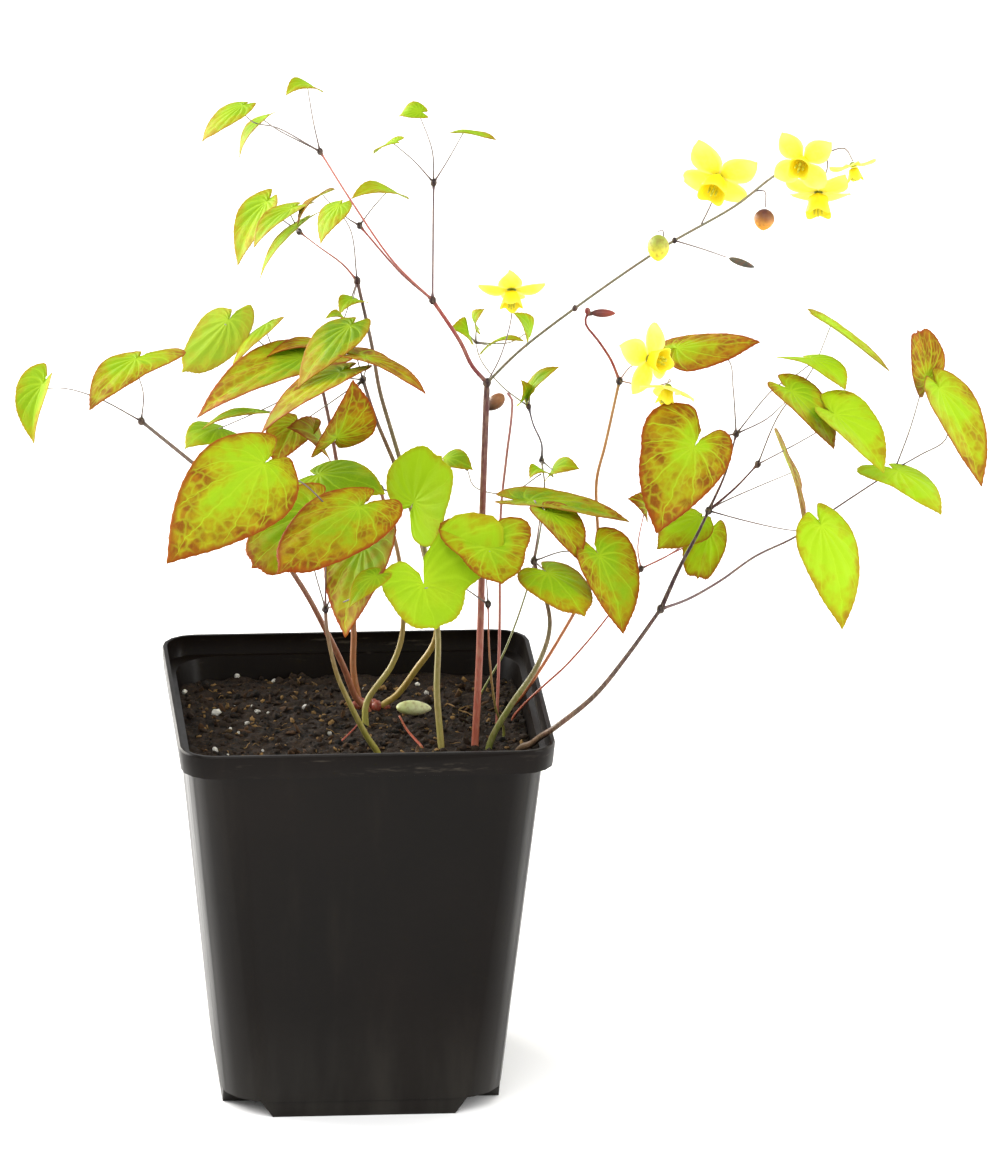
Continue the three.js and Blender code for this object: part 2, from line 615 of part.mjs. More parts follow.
function youngFrond() {
  const joint = [54, 181, 22];
  const topJoint = [50, 197, 24];
  return plantPiece('frond_young', LOOKS.leaf, [
    rootedStem([[35, 107, 24], [44, 125, 23], [52, 150, 22], [55, 173, 22], joint],
      THIN_STEM_RADIUS),
    stalk([joint, [54, 186, 22], [51.5, 191.5, 23], topJoint], THIN_STEM_RADIUS),
    thread([[54, 177, 22], [44, 171, 26], [34, 173, 28], [32, 178, 28]], THREAD_RADIUS),
    thread([topJoint, [42, 203, 26], [35.5, 211, 27], [34, 216, 27]], THREAD_RADIUS),
    [joint, topJoint].map((p) => swelling(p, SMALL_SWELLING)),
    leaflet([[32, 178, 28]], [25.5, 181, 28], [33.5, 178, 24], { width: 9, roll: -40, lobes: 0.6 }),
    leaflet([joint], [54.5, 178, 18], [50.5, 175.5, 15], { width: 7, roll: 50 }),
    leaflet([joint], [57.3, 177.8, 19], [65.3, 178.6, 14], { width: 9, roll: -52 }),
    leaflet([topJoint], [50, 201, 25], [59, 209, 21], { width: 7, roll: -56 }),
    leaflet([topJoint], [49, 199.5, 24], [47.6, 205, 22], { width: 6, roll: 40 }),
    leaflet([[34, 216, 27]], [32, 218.5, 26], [26.5, 220, 21], { width: 9, roll: 40, lobes: 0.7 }),
    leaflet([[34, 216, 27]], [38, 215, 28], [48.5, 216.5, 24], { width: 6, roll: -76 }),
    leaflet([[34, 216, 27]], [34, 221, 28], [36.5, 226, 26], { width: 6, roll: -60 }),
    leaflet([[34, 216, 27], [44, 216, 31]], [50, 219, 30], [45, 225, 28], { width: 8, roll: 50 }),
  ]);
}

function redStalkedFrond() {
  const joint = [84, 149, -4];
  return plantPiece('frond_red_stalked', LOOKS.leaf, [
    rootedStem([[46, 103, 10], [49, 107.5, 4], [55, 113.5, -2], [62, 120, -4], [73, 133, -4], joint],
      THIN_STEM_RADIUS),
    swelling(joint, SMALL_SWELLING),
    leaflet([joint, [83, 155.5, -5]], [85.5, 167.3, -6], [79.8, 169.8, -10],
      { width: 8, roll: 30, lobes: 1.1 }),
    leaflet([joint, [92, 153, 0], [101, 160, 0]], [101.5, 164.5, -6], [87.5, 153.5, -13],
      { width: 16, roll: 35, fold: -6, blunt: 0.3, lobes: 0.35 }),
    leaflet([joint, [92, 153, 0], [101, 157.5, 3]], [104.3, 159.7, -2], [100, 140.1, -8],
      { width: 13.5, roll: 22, blunt: 1, lobes: 0.65 }),
  ]);
}

function rightFrond() {
  const fork = [90, 137, -26];
  const middleJoint = [104, 166.5, -18];
  const leftJoint = [112, 189.5, -12];
  const upperJoint = [118.5, 180.5, -10];
  const farJoint = [159.5, 179.5, -14];
  return plantPiece('frond_right', LOOKS.leaf, [
    rootedStem([[48, 94, -17], [52, 96.5, -26], [54.5, 98.5, -32], [59, 101.5, -40],
      [70.5, 111, -40], [80.5, 123.5, -34], fork], STEM_RADIUS),
    stalk([fork, [96, 150.5, -23], [100.5, 159, -20], middleJoint], STEM_RADIUS),
    stalk([middleJoint, [112, 173.5, -14], upperJoint], THIN_STEM_RADIUS),
    stalk([middleJoint, [109, 178, -16], leftJoint], THIN_STEM_RADIUS),
    stalk([fork, [98, 140, -26], [107.5, 145.5, -26], [118, 153, -25], [130, 159, -22],
      [141, 167, -18], farJoint], STEM_RADIUS),
    [fork, middleJoint, leftJoint, upperJoint, farJoint].map((p) => swelling(p)),
    leaflet([leftJoint, [105, 188, -18]], [99.5, 185.3, -25], [88.5, 159.5, -40],
      { width: 28, roll: 26, fold: 11, skew: -0.28, lobes: 1.18 }),
    leaflet([leftJoint, [111, 202.5, -2], [109.5, 211.5, 10], [105, 214.5, 13]], [94.2, 214.8, 15],
      [118.9, 217, 8], { width: 17, roll: -47.5, fold: -19.5, arch: 0.5, lobes: 0.7, skew: 0.3 }),
    leaflet([leftJoint, [123, 203, -8], [130, 207.5, -4]], [134.3, 211.9, -2], [144.5, 203, -12],
      { width: 16, roll: -60, fold: 4, lobes: 1.3, skew: -0.2 }),
    leaflet([leftJoint, [121, 194, -13], [126.5, 199, -15]], [128.3, 202.2, -17], [141.3, 185.3, -26],
      { width: 22, roll: -60, fold: 7 }),
    leaflet([upperJoint, [126, 184.5, -16], [134, 189, -19]], [141.6, 195.3, -20], [156.3, 178.3, -30],
      { width: 22, roll: -54, fold: 15, lobes: 1, skew: 0.25 }),
    leaflet([middleJoint, [107.3, 168.6, -17], [117.2, 173.2, -15]], [128.3, 179, -14],
      [132.3, 163.5, -26], { width: 15, roll: -84, arch: 0.5, lobes: 2.1 }),
    leaflet([middleJoint, [115.5, 163.5, -22], [128, 161, -28]], [137.6, 162.3, -32], [144.3, 131.5, -42],
      { width: 23, roll: -38, fold: -4, arch: 2.5, lobes: 0.6 }),
    leaflet([farJoint], [160.5, 178.8, -20], [173.5, 166, -30],
      { width: 19, roll: -57, fold: -6, lobes: 1.15, skew: -0.3 }),
    leaflet([farJoint, [164, 192, -8]], [168.7, 206.8, -4], [163.2, 227, 0],
      { width: 15, roll: 44, fold: 10, blunt: 1, lobes: 0.7 }),
    leaflet([farJoint, [167, 183.8, -12], [174.5, 188.5, -8], [175.5, 197, -6]], [172.6, 203.5, -9],
      [185.5, 174.5, -22], { width: 22, roll: -50, fold: 11, lobes: 0.6 }),
    leaflet([upperJoint, [124.5, 195, -2], [134.3, 208.6, 4]], [138.7, 222.8, 10], [157.7, 208.6, 3],
      { width: 15, roll: -80, lobes: 0.9, arch: 0.5 }),
  ]);
}

// Young growth at the soil: a red shoot with its tip still furled, and a short red stub.
function redShoot() {
  return plantPiece('red_shoot', LOOKS.redStem, [
    rootedStem([[19.5, 94.5, -15], [17.5, 97, -12], [14.5, 100.5, -8], [12.4, 104.4, -6]], THIN_STEM_RADIUS),
  ]);
}

function redStub() {
  return plantPiece('red_stub', LOOKS.redStem, [
    rootedStem([[-6, 95, -14], [-3.5, 98, -12], [-1, 100.5, -10], [0.5, 102.5, -8]],
      THREAD_RADIUS),
  ]);
}

// Flowers: four pale sepals in a cross behind a short deeper yellow cup.
const PETAL_OUTLINE = [[0, -0.12], [0.4, -0.5], [1, 0], [0.4, 0.5], [0, 0.12]];

function flowerFrame(place, facing, spin) {
  const centre = seen(place);
  const axis = seen(place.map((value, i) => value + facing[i])).sub(centre).normalize();
  const turned = new THREE.Quaternion().setFromUnitVectors(new THREE.Vector3(0, 0, 1), axis);
  const spun = new THREE.Quaternion().setFromAxisAngle(
    new THREE.Vector3(0, 0, 1), THREE.MathUtils.degToRad(spin));
  return new THREE.Matrix4().compose(centre, turned.multiply(spun), new THREE.Vector3(1, 1, 1));
}

// A sepal in the flower's own frame: it leaves the middle outwards and sweeps back by its droop.
function sepal(quarter, length, width, droop) {
  const half = BLADE_THICKNESS / 2;
  const turn = quarter * (Math.PI / 2);
  const at = (t, s, lift) => {
    const out = SEPAL_START + t * length;
    const z = -droop * t * t + lift;
    return new THREE.Vector3(
      out * Math.cos(turn) - s * width * Math.sin(turn),
      out * Math.sin(turn) + s * width * Math.cos(turn),
      z,
    );
  };
  const points = [];
  for (const lift of [half, -half]) {
    points.push(at(SEPAL_RIDGE, 0, lift + SEPAL_RIDGE));
    PETAL_OUTLINE.forEach(([t, s]) => points.push(at(t, s, lift)));
  }
  const count = PETAL_OUTLINE.length;
  const under = points.length / 2;
  const faces = [];
  for (let i = 0; i < count; i += 1) {
    const a = 1 + i;
    const b = 1 + ((i + 1) % count);
    faces.push([0, a, b], [under, under + b, under + a], [a, under + a, under + b], [a, under + b, b]);
  }
  return solidOf(surface(points, faces));
}

function flower(name, place, facing, spin, size, droop) {
  const frame = flowerFrame(place, facing, spin);
  const toPlace = frame.elements;
  const coreShape = new THREE.CylinderGeometry(CORE_TOP_RADIUS, CORE_FOOT_RADIUS, CORE_HEIGHT, CORE_SIDES);
  const core = solidOf(coreShape.rotateX(Math.PI / 2));
  const sepals = [0, 1, 2, 3].map((quarter) =>
    sepal(quarter, SEPAL_LENGTH * size, SEPAL_WIDTH * size, droop));
  const depth = CUP_DEPTH * size;
  const mouth = CUP_MOUTH * size;
  const swell = CUP_SWELL * mouth;
  const cupStart = CORE_HEIGHT / 2 + CUP_GAP;
  const profile = [
    [0, 0], [CUP_FOOT, 0], [swell, 0.35 * depth], [mouth, 0.95 * depth], [mouth - CUP_LIP, depth],
    [swell - CUP_WALL, 0.45 * depth], [0, 0.25 * depth],
  ].map(([x, y]) => new THREE.Vector2(x, y + cupStart));
  const cup = solidOf(new THREE.LatheGeometry(profile, CUP_SIDES).rotateX(Math.PI / 2));
  return [
    mesh(`${name}_sepals`, fuse([core, ...sepals]).transform(toPlace), LOOKS.sepal),
    mesh(`${name}_cup`, cup.transform(toPlace), LOOKS.cup),
  ];
}

function bud(name, place, towards, length, radius, material = LOOKS.bud) {
  const frame = flowerFrame(place, towards, 0);
  const profile = BUD_PROFILE.map(([x, y]) => new THREE.Vector2(x * radius, y * length));
  const solid = solidOf(new THREE.LatheGeometry(profile, BUD_SIDES).rotateX(Math.PI / 2));
  return mesh(name, solid.transform(frame.elements), material);
}

function flowersAndBuds() {
  return [
    ...flower('flower_low_left', [44.6, 232, -10.5], [0, -1, -0.7], 0, 1, 1.5),
    ...flower('flower_red_stem', [85.6, 211.6, -5.2], [0.75, -0.1, -0.7], 10, 1.15, 2),
    ...flower('flower_red_stem_young', [91.6, 203.3, -9.5], [-0.2, -1, -0.4], 20, 0.85, -2),
    ...flower('flower_spray_first', [106, 266.4, -21], [-0.3, -0.8, -0.9], 0, 1.35, 2),
    ...flower('flower_spray_middle', [131, 271, -29], [-0.2, -0.4, -1], 20, 1.05, 1),
    ...flower('flower_spray_hanging', [135.8, 262, -16], [0, -1, -0.6], 45, 1.25, 2),
    ...flower('flower_spray_last', [146, 270, -24], [0.2, -1, -0.3], 45, 0.7, 0.5),
    bud('bud_spray_low', [88.2, 248.6, -23.4], [0, -1, 0], 8, 3.1, LOOKS.cup),
    bud('bud_spray_orange', [120, 256.6, -22], [-0.1, -1, 0], 6.5, 2.9),
    bud('bud_spray_dark', [109.3, 241.9, -21], [1, -0.35, 0], 8, 1),
    bud('bud_red_stem', [68.3, 225.1, 0], [1, 0, 0], 7.2, 1.2),
    bud('bud_pink_stem', [42.5, 200.5, 8], [-0.8, -0.75, 0], 6.8, 2.1),
    bud('shoot_tip', [11.4, 106.9, -6], [1, -0.02, -0.1], 10.5, 2.2, LOOKS.sepal),
  ];
}

// Potting mix, heaped a little and crumbly on top, with a hole for each stem.
// The roughness is a repeatable scatter between 0 and 1.
function roughness(i, j) {
  const wild = Math.sin(i * 12.9898 + j * 78.233) * 43758.5453;
  return wild - Math.floor(wild);
}

function crumbledTop(surfaceZ) {
  const width = RIM_WIDTH;
  const points = [];
  for (const isTop of [false, true]) {
    for (let j = 0; j <= CRUMB_CELLS; j += 1) {
      for (let i = 0; i <= CRUMB_CELLS; i += 1) {
        const jitter = (roughness(j, i) - 0.5) * CRUMB_JITTER;
        const x = ((i + jitter) / CRUMB_CELLS - 0.5) * width;
        const y = ((j - jitter) / CRUMB_CELLS - 0.5) * width;
        const z = isTop ? surfaceZ + roughness(i, j) * CRUMB_HEIGHT : CRUMB_FLOOR;
        points.push(new THREE.Vector3(x, y, z));
      }
    }
  }
  const row = CRUMB_CELLS + 1;
  const top = row * row;
  const faces = [];
  for (let j = 0; j < CRUMB_CELLS; j += 1) {
    for (let i = 0; i < CRUMB_CELLS; i += 1) {
      const a = j * row + i;
      faces.push([top + a, top + a + 1, top + a + row + 1], [top + a, top + a + row + 1, top + a + row]);
      faces.push([a, a + row + 1, a + 1], [a, a + row, a + row + 1]);
    }
  }
  for (let i = 0; i < CRUMB_CELLS; i += 1) {
    const sides = [
      [i, i + 1],
      [CRUMB_CELLS * row + i + 1, CRUMB_CELLS * row + i],
      [(i + 1) * row, i * row],
      [i * row + CRUMB_CELLS, (i + 1) * row + CRUMB_CELLS],
    ];
    for (const [a, b] of sides) faces.push([a, b, top + b], [a, top + b, top + a]);
  }
  return solidOf(surface(points, faces));
}

function soil() {
  const surfaceZ = POT_HEIGHT - SOIL_DROP;
  const inset = WALL + SOIL_GAP;
  const block = bodyLoft(inset, FOOT_HEIGHT + inset, surfaceZ + CRUMB_HEIGHT)
    .add(foot(inset, inset, FOOT_HEIGHT + inset + OVERLAP));
  let mix = block.intersect(crumbledTop(surfaceZ));
  for (const { route, radius } of rootedLines) {
    const holeRadius = radius + HOLE_CLEARANCE;
    mix = mix.subtract(stalk(route, holeRadius).add(swelling(route[0], holeRadius * HOLE_END)));
  }
  return mesh('soil', mix, LOOKS.soil);
}

const epimedium = new THREE.Group();
epimedium.add(
  pot(),
  floweringStem(),
  redFloweringStem(),
  pinkBudStem(),
  leftFrond(),
  backLeftFrond(),
  topLeftFrond(),
  middleLeftFrond(),
  innerFrond(),
  frontLeftFrond(),
  frontMiddleFrond(),
  rightOfMiddleFrond(),
  youngFrond(),
  redStalkedFrond(),
  rightFrond(),
  redShoot(),
  redStub(),
  ...flowersAndBuds(),
  soil(),
);

export default epimedium;
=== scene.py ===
# %% [markdown]
# # A barrenwort in a square nursery pot
# The plant is an evergreen woodland perennial: wiry stalks rise from the potting mix, divide by
# threes, and carry thin heart-shaped leaflets whose pale veins show against a bronze flush.
# Above them nod a few pale yellow flowers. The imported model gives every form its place. This
# script keeps those places and gives each piece its fine shape and its finish.

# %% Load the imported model
import math
import random

import bmesh
import bpy
import numpy as np
from mathutils import Matrix, Vector, noise


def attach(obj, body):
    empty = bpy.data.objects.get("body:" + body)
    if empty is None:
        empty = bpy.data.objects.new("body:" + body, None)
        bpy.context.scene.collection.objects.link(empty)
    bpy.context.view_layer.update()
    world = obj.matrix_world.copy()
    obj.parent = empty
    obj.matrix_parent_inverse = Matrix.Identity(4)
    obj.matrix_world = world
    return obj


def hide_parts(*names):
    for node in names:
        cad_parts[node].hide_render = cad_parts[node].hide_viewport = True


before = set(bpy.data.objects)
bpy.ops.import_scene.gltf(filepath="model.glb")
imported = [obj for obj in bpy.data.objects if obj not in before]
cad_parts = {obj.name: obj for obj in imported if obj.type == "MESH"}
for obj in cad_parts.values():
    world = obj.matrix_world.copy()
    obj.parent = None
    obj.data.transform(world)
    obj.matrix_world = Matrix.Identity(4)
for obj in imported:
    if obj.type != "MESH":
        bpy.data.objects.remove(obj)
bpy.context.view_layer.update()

MM = 0.001
BODY = "root"
print("CAD nodes:", len(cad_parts))

# %% [markdown]
# ## The camera
# The photograph was taken from afar with a long lens, a little to the left and from above. A far
# camera keeps the pot's sides nearly parallel. The plant's points below are given as they lie in
# that picture, so the camera's tilt and turn come first and everything else uses them.

# %% Camera
VIEW_TILT = math.radians(18.87)
VIEW_TURN = math.radians(4.89)
VIEW_ROLL = 0.01012
VIEW_DISTANCE = 3675
VIEW_AXIS_ACROSS = 42
VIEW_AXIS_UP = 144
LENS = 379.7
SENSOR = 36

ACROSS = np.array([math.cos(VIEW_TURN), -math.sin(VIEW_TURN), 0])
TO_VIEWER = np.array([
    -math.sin(VIEW_TURN) * math.cos(VIEW_TILT),
    -math.cos(VIEW_TURN) * math.cos(VIEW_TILT),
    math.sin(VIEW_TILT),
])
PICTURE_UP = np.cross(TO_VIEWER, ACROSS)

camera = bpy.data.objects.new("camera", bpy.data.cameras.new("camera"))
bpy.context.collection.objects.link(camera)
bpy.context.scene.camera = camera
camera.data.lens = LENS
camera.data.sensor_width = SENSOR
camera.data.clip_end = 50
right = ACROSS * math.cos(VIEW_ROLL) + PICTURE_UP * math.sin(VIEW_ROLL)
up = PICTURE_UP * math.cos(VIEW_ROLL) - ACROSS * math.sin(VIEW_ROLL)
seat = ACROSS * VIEW_AXIS_ACROSS + PICTURE_UP * VIEW_AXIS_UP + TO_VIEWER * VIEW_DISTANCE
camera.matrix_world = Matrix((
    (right[0], up[0], TO_VIEWER[0], seat[0] * MM),
    (right[1], up[1], TO_VIEWER[1], seat[1] * MM),
    (right[2], up[2], TO_VIEWER[2], seat[2] * MM),
    (0, 0, 0, 1),
))
print("camera at", [round(v * MM, 3) for v in seat])

# %% [markdown]
# ## Floor and light
# A pale studio floor and a bright, even white surround give soft shadows and a clean background.
# Two tall panels stand at the sides and one hangs above: black plastic shows little colour of its
# own, so it is their long reflections that draw the pot's corners. Two warm ones behind the plant
# show in gloss alone, and so mark its edges.

# %% Floor and light
def linear(hex_colour):
    """A colour written as in a paint program, as the linear light that shaders work in."""
    parts = [int(hex_colour[i:i + 2], 16) / 255 for i in (1, 3, 5)]
    return tuple(p / 12.92 if p <= 0.04045 else ((p + 0.055) / 1.055) ** 2.4 for p in parts)


def node(tree, kind, inputs=None, **settings):
    """Adds one shader node. A socket in inputs is linked, and anything else is set."""
    made = tree.nodes.new(kind)
    for key, value in settings.items():
        setattr(made, key, value)
    for key, value in (inputs or {}).items():
        if isinstance(value, bpy.types.NodeSocket):
            tree.links.new(value, made.inputs[key])
        elif isinstance(value, str):
            made.inputs[key].default_value = (*linear(value), 1)
        else:
            made.inputs[key].default_value = value
    return made


def material(name):
    made = bpy.data.materials.new(name)
    made.use_nodes = True
    made.node_tree.nodes.clear()
    return made, made.node_tree


def new_object(name, mesh):
    made = bpy.data.objects.new(name, mesh)
    bpy.context.collection.objects.link(made)
    return made


FLOOR_HALF = 12
floor_mesh = bpy.data.meshes.new("floor")
floor_corners = [(-1, -1), (1, -1), (1, 1), (-1, 1)]
floor_mesh.from_pydata([(x * FLOOR_HALF, y * FLOOR_HALF, 0) for x, y in floor_corners],
                       [], [(0, 1, 2, 3)])
floor = new_object("floor", floor_mesh)
floor_paint, tree = material("floor_paint")
grain = node(tree, "ShaderNodeTexNoise", {"Scale": 3.0})
tone = node(tree, "ShaderNodeMapRange", {"Value": grain.outputs[0], "To Min": 0.86, "To Max": 0.9})
shade = node(tree, "ShaderNodeBsdfPrincipled", {"Base Color": tone.outputs[0], "Roughness": 0.9})
node(tree, "ShaderNodeOutputMaterial", {"Surface": shade.outputs[0]})
floor_mesh.materials.append(floor_paint)

AIM = Vector((0.03, 0, 0.15))
WARM_WHITE = (1.0, 0.96, 0.88)
for name, place, size, watts in [
    ("left_panel", (-1.45, 0.5, 0.6), (0.6, 1.5), 26),
    ("right_panel", (1.3, -0.5, 0.6), (0.5, 1.4), 14),
    ("high_panel", (-0.3, -1.2, 1.9), (1.6, 1.2), 26),
    ("left_edge", (-1.0, 0.9, 0.35), (1.2, 1.2), 45),
    ("right_edge", (1.2, 0.7, 0.4), (1.2, 1.2), 14),
]:
    light = bpy.data.lights.new(name, "AREA")
    light.shape = "RECTANGLE"
    light.size, light.size_y = size
    light.energy = watts
    if "edge" in name:
        light.diffuse_factor, light.transmission_factor = 0, 0
        light.color = WARM_WHITE
    lamp = new_object(name, light)
    lamp.location = place
    lamp.rotation_mode = "QUATERNION"
    lamp.rotation_quaternion = (AIM - Vector(place)).to_track_quat("-Z", "Y")

WORLD_STRENGTH = 0.9
world = bpy.data.worlds.new("surround")
bpy.context.scene.world = world
world.use_nodes = True
sky = world.node_tree.nodes["Background"].inputs
sky[0].default_value, sky[1].default_value = (1, 1, 1, 1), WORLD_STRENGTH
bpy.context.scene.view_settings.view_transform = "Standard"

# %% [markdown]
# ## Reading points off the picture
# A point is written as millimetres across and up in the picture, and how far behind the pot's
# middle it lies. Moving a point back or forth then never changes how the plant looks from the
# front, which makes it easy to lay stalks in front of each other.

# %% From the picture to the room
def seen(point):
    """Where a picture point lies in the room, in millimetres."""
    across, height, back = point
    off_across = across - VIEW_AXIS_ACROSS
    off_up = height - VIEW_AXIS_UP
    cos, sin = math.cos(VIEW_TILT), math.sin(VIEW_TILT)
    z = (off_up * (1 + back * cos / VIEW_DISTANCE) + VIEW_AXIS_UP - back * sin) / (
        cos + off_up * sin / VIEW_DISTANCE)
    away = back * cos - z * sin
    level = VIEW_AXIS_ACROSS + off_across * (1 + away / VIEW_DISTANCE)
    return np.array([
        level * math.cos(VIEW_TURN) + back * math.sin(VIEW_TURN),
        -level * math.sin(VIEW_TURN) + back * math.cos(VIEW_TURN),
        z,
    ])


def unit(vector):
    return vector / np.linalg.norm(vector)


def turned(vector, axis, degrees):
    """vector turned about axis, by Rodrigues' formula."""
    angle = math.radians(degrees)
    return (vector * math.cos(angle) + np.cross(axis, vector) * math.sin(angle)
            + axis * np.dot(axis, vector) * (1 - math.cos(angle)))


def curve_through(points, step):
    """A smooth curve through the points, with a point about every step millimetres."""
    points = [np.asarray(p, float) for p in points]
    ends = [2 * points[0] - points[1], *points, 2 * points[-1] - points[-2]]
    made = []
    for i in range(1, len(ends) - 2):
        p0, p1, p2, p3 = ends[i - 1:i + 3]
        d0, d1, d2 = (math.sqrt(np.linalg.norm(b - a)) for a, b in ((p0, p1), (p1, p2), (p2, p3)))
        m1 = ((p1 - p0) / d0 - (p2 - p0) / (d0 + d1) + (p2 - p1) / d1) * d1
        m2 = ((p2 - p1) / d1 - (p3 - p1) / (d1 + d2) + (p3 - p2) / d2) * d1
        count = max(2, math.ceil(np.linalg.norm(p2 - p1) / step))
        for k in range(count):
            t = k / count
            made.append(p1 + m1 * t + (3 * (p2 - p1) - 2 * m1 - m2) * t * t
                        + (2 * (p1 - p2) + m1 + m2) * t ** 3)
    made.append(points[-1])
    return np.array(made)


print("soil surface is seen at", np.round(seen((40, 99, 0)), 1))

# %% [markdown]
# ## Building meshes
# Every grown piece is written straight into mesh data: a stalk is a ring of points carried along
# its curve, and a leaflet is a fan of points from its stalklet to its margin. Values that a
# finish needs, such as how far a point is from the midrib, are kept on the points themselves.

# %% A piece under construction
class Growth:
    """Gathers points, faces and what the finish wants to know, then becomes one object."""

    def __init__(self, name):
        self.name = name
        self.points = []
        self.faces = []
        self.notes = {}

    def add(self, points, faces, **notes):
        start = len(self.points)
        self.points += [tuple(p) for p in points]
        self.faces += [tuple(start + i for i in face) for face in faces]
        for key, values in notes.items():
            self.notes.setdefault(key, []).append((start, values))

    def finish(self, finish, slot, *replaced):
        mesh = bpy.data.meshes.new(self.name)
        mesh.from_pydata([tuple(v * MM for v in p) for p in self.points], [], self.faces)
        for key, spans in self.notes.items():
            values = np.zeros((len(self.points), 3))
            for start, given in spans:
                values[start:start + len(given)] = given
            held = mesh.attributes.new(key, "FLOAT_VECTOR", "POINT")
            held.data.foreach_set("vector", values.astype(np.float32).ravel())
        mesh.polygons.foreach_set("use_smooth", [True] * len(mesh.polygons))
        mesh.update()
        made = new_object(self.name, mesh)
        mesh.materials.append(finish)
        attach(made, BODY)
        if replaced:
            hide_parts(*replaced)
        triangles = sum(len(f) - 2 for f in self.faces)
        print(f"{self.name}: {len(self.points)} points, {triangles} triangles")
        return made


# %% Stalks
STALK_SIDES = 8
STALK_STEP = 2.2
KNOT_SPREAD = 1.3
KNOB_RINGS, KNOB_SIDES = 6, 10
KNOB_STRETCH, KNOB_UNEVEN = 1.2, 0.12
SHRUNK_END = 0.5
ANY_WAY = [0.31, 0.87, 0.39]
OLIVE, PLUM, DARK, MAUVE, KNOT = "#77803a", "#4d2a30", "#33191d", "#9a7f80", "#1c0b0e"


def blend(a, b, share):
    return np.asarray(a) + (np.asarray(b) - np.asarray(a)) * share


def capped_faces(rings, sides):
    """Faces of a form made of rings of points, with one more point at each end."""
    faces, last = [], 1 + rings * sides
    for k in range(sides):
        after = (k + 1) % sides
        faces.append((0, 1 + after, 1 + k))
        for i in range(rings - 1):
            a, b = 1 + i * sides + k, 1 + i * sides + after
            faces.append((a, b, b + sides, a + sides))
        faces.append((last, last - sides + k, last - sides + after))
    return faces


def tube(line, radii, sides=STALK_SIDES):
    """A closed tube along line, whose rings are carried along without twisting."""
    ahead = np.gradient(line, axis=0)
    ahead /= np.linalg.norm(ahead, axis=1)[:, None]
    beside = unit(np.cross(ahead[0], ANY_WAY))
    points = [line[0] - ahead[0] * radii[0] * SHRUNK_END]
    for i, place in enumerate(line):
        beside = unit(beside - ahead[i] * np.dot(beside, ahead[i]))
        above = np.cross(ahead[i], beside)
        for k in range(sides):
            angle = 2 * math.pi * k / sides
            points.append(place + (beside * math.cos(angle) + above * math.sin(angle)) * radii[i])
    points.append(line[-1] + ahead[-1] * radii[-1] * SHRUNK_END)
    return points, capped_faces(len(line), sides)


def stalk(growth, route, radius, low, high, taper=0.2, knots=(False, True), knot=0.7):
    """A stalk along a route of picture points, darker and thicker where it meets a joint."""
    line = curve_through([seen(p) for p in route], STALK_STEP)
    gone = np.concatenate([[0], np.cumsum(np.linalg.norm(np.diff(line, axis=0), axis=1))])
    share = gone / gone[-1]
    radii = radius * (1 - taper * share)
    stains = [blend(linear(low), linear(high), s) for s in share]
    for knotted, distance in zip(knots, (gone, gone[-1] - gone)):
        if knotted:
            near = np.exp(-((distance / KNOT_SPREAD) ** 2))
            radii = radii + (knot - radii) * near
            stains = [blend(s, linear(KNOT), n) for s, n in zip(stains, near)]
    along = [s for s in stains for _ in range(STALK_SIDES)]
    growth.add(*tube(line, radii), stain=[stains[0], *along, stains[-1]])


def knob(growth, place, radius, colour=KNOT):
    """A joint: a slightly drawn-out ball with a rough skin."""
    centre = seen(place)
    rings, sides = KNOB_RINGS, KNOB_SIDES
    points = [centre + [0, 0, radius]]
    for r in range(1, rings):
        for k in range(sides):
            up_angle, turn = math.pi * r / rings, 2 * math.pi * k / sides
            out = math.sin(up_angle)
            way = np.array([out * math.cos(turn), out * math.sin(turn),
                            math.cos(up_angle) * KNOB_STRETCH])
            bump = 1 + KNOB_UNEVEN * noise.noise(Vector(centre * 0.7 + way * 2))
            points.append(centre + way * radius * bump)
    points.append(centre - [0, 0, radius])
    faces = [(f[0], *f[:0:-1]) for f in capped_faces(rings - 1, sides)]
    growth.add(points, faces, stain=[linear(colour)] * len(points))


# %% [markdown]
# ## Leaflets
# A leaflet is an uneven heart: a drawn-out tip, and two rounded lobes that reach back past the
# stalklet. Its outline is a smooth curve through a few points that say how far the margin lies
# from the stalklet at each angle from the midrib. The blade domes up between its main veins, and
# the margin carries small soft bristles, as barrenwort has.

# %% Leaflets
OUTLINE = [(0, 1), (22, 0.74), (50, 0.58), (85, 0.5), (120, 0.45), (150, 0.36), (172, 0.15)]
OUTLINE_STEP = 0.03
BLUNT_LOSS = 0.3
BLUNT_ANGLE = 16
TOOTH_EVERY = 3
TOOTH = 0.004
VEIN_GAP = math.radians(34)
VEIN_BEND = 0.3
BLADE_HALF = 0.17
MARGIN_HALF = 0.09
BRISTLE = 0.16
DOME = 0.0352
FOLD_SOFTNESS = 0.06
LOBE_ANGLES = 60, 130
WAVES = 4
LARGE = 14
RINGS = [0.05, 0.12, 0.2, 0.28, 0.36, 0.44, 0.52, 0.6, 0.68, 0.76, 0.83, 0.89, 0.94, 0.975, 1]


def half_outline():
    corners = [np.array([reach * math.cos(math.radians(a)), reach * math.sin(math.radians(a)), 0])
               for a, reach in OUTLINE]
    line = curve_through(corners, OUTLINE_STEP)
    return [(math.atan2(y, x), math.hypot(x, y)) for x, y, _ in line]


HALF_OUTLINE = half_outline()
print("points round a leaflet:", 2 * len(HALF_OUTLINE) - 1)


def smooth_step(value, low, high):
    share = min(1, max(0, (value - low) / (high - low)))
    return share * share * (3 - 2 * share)


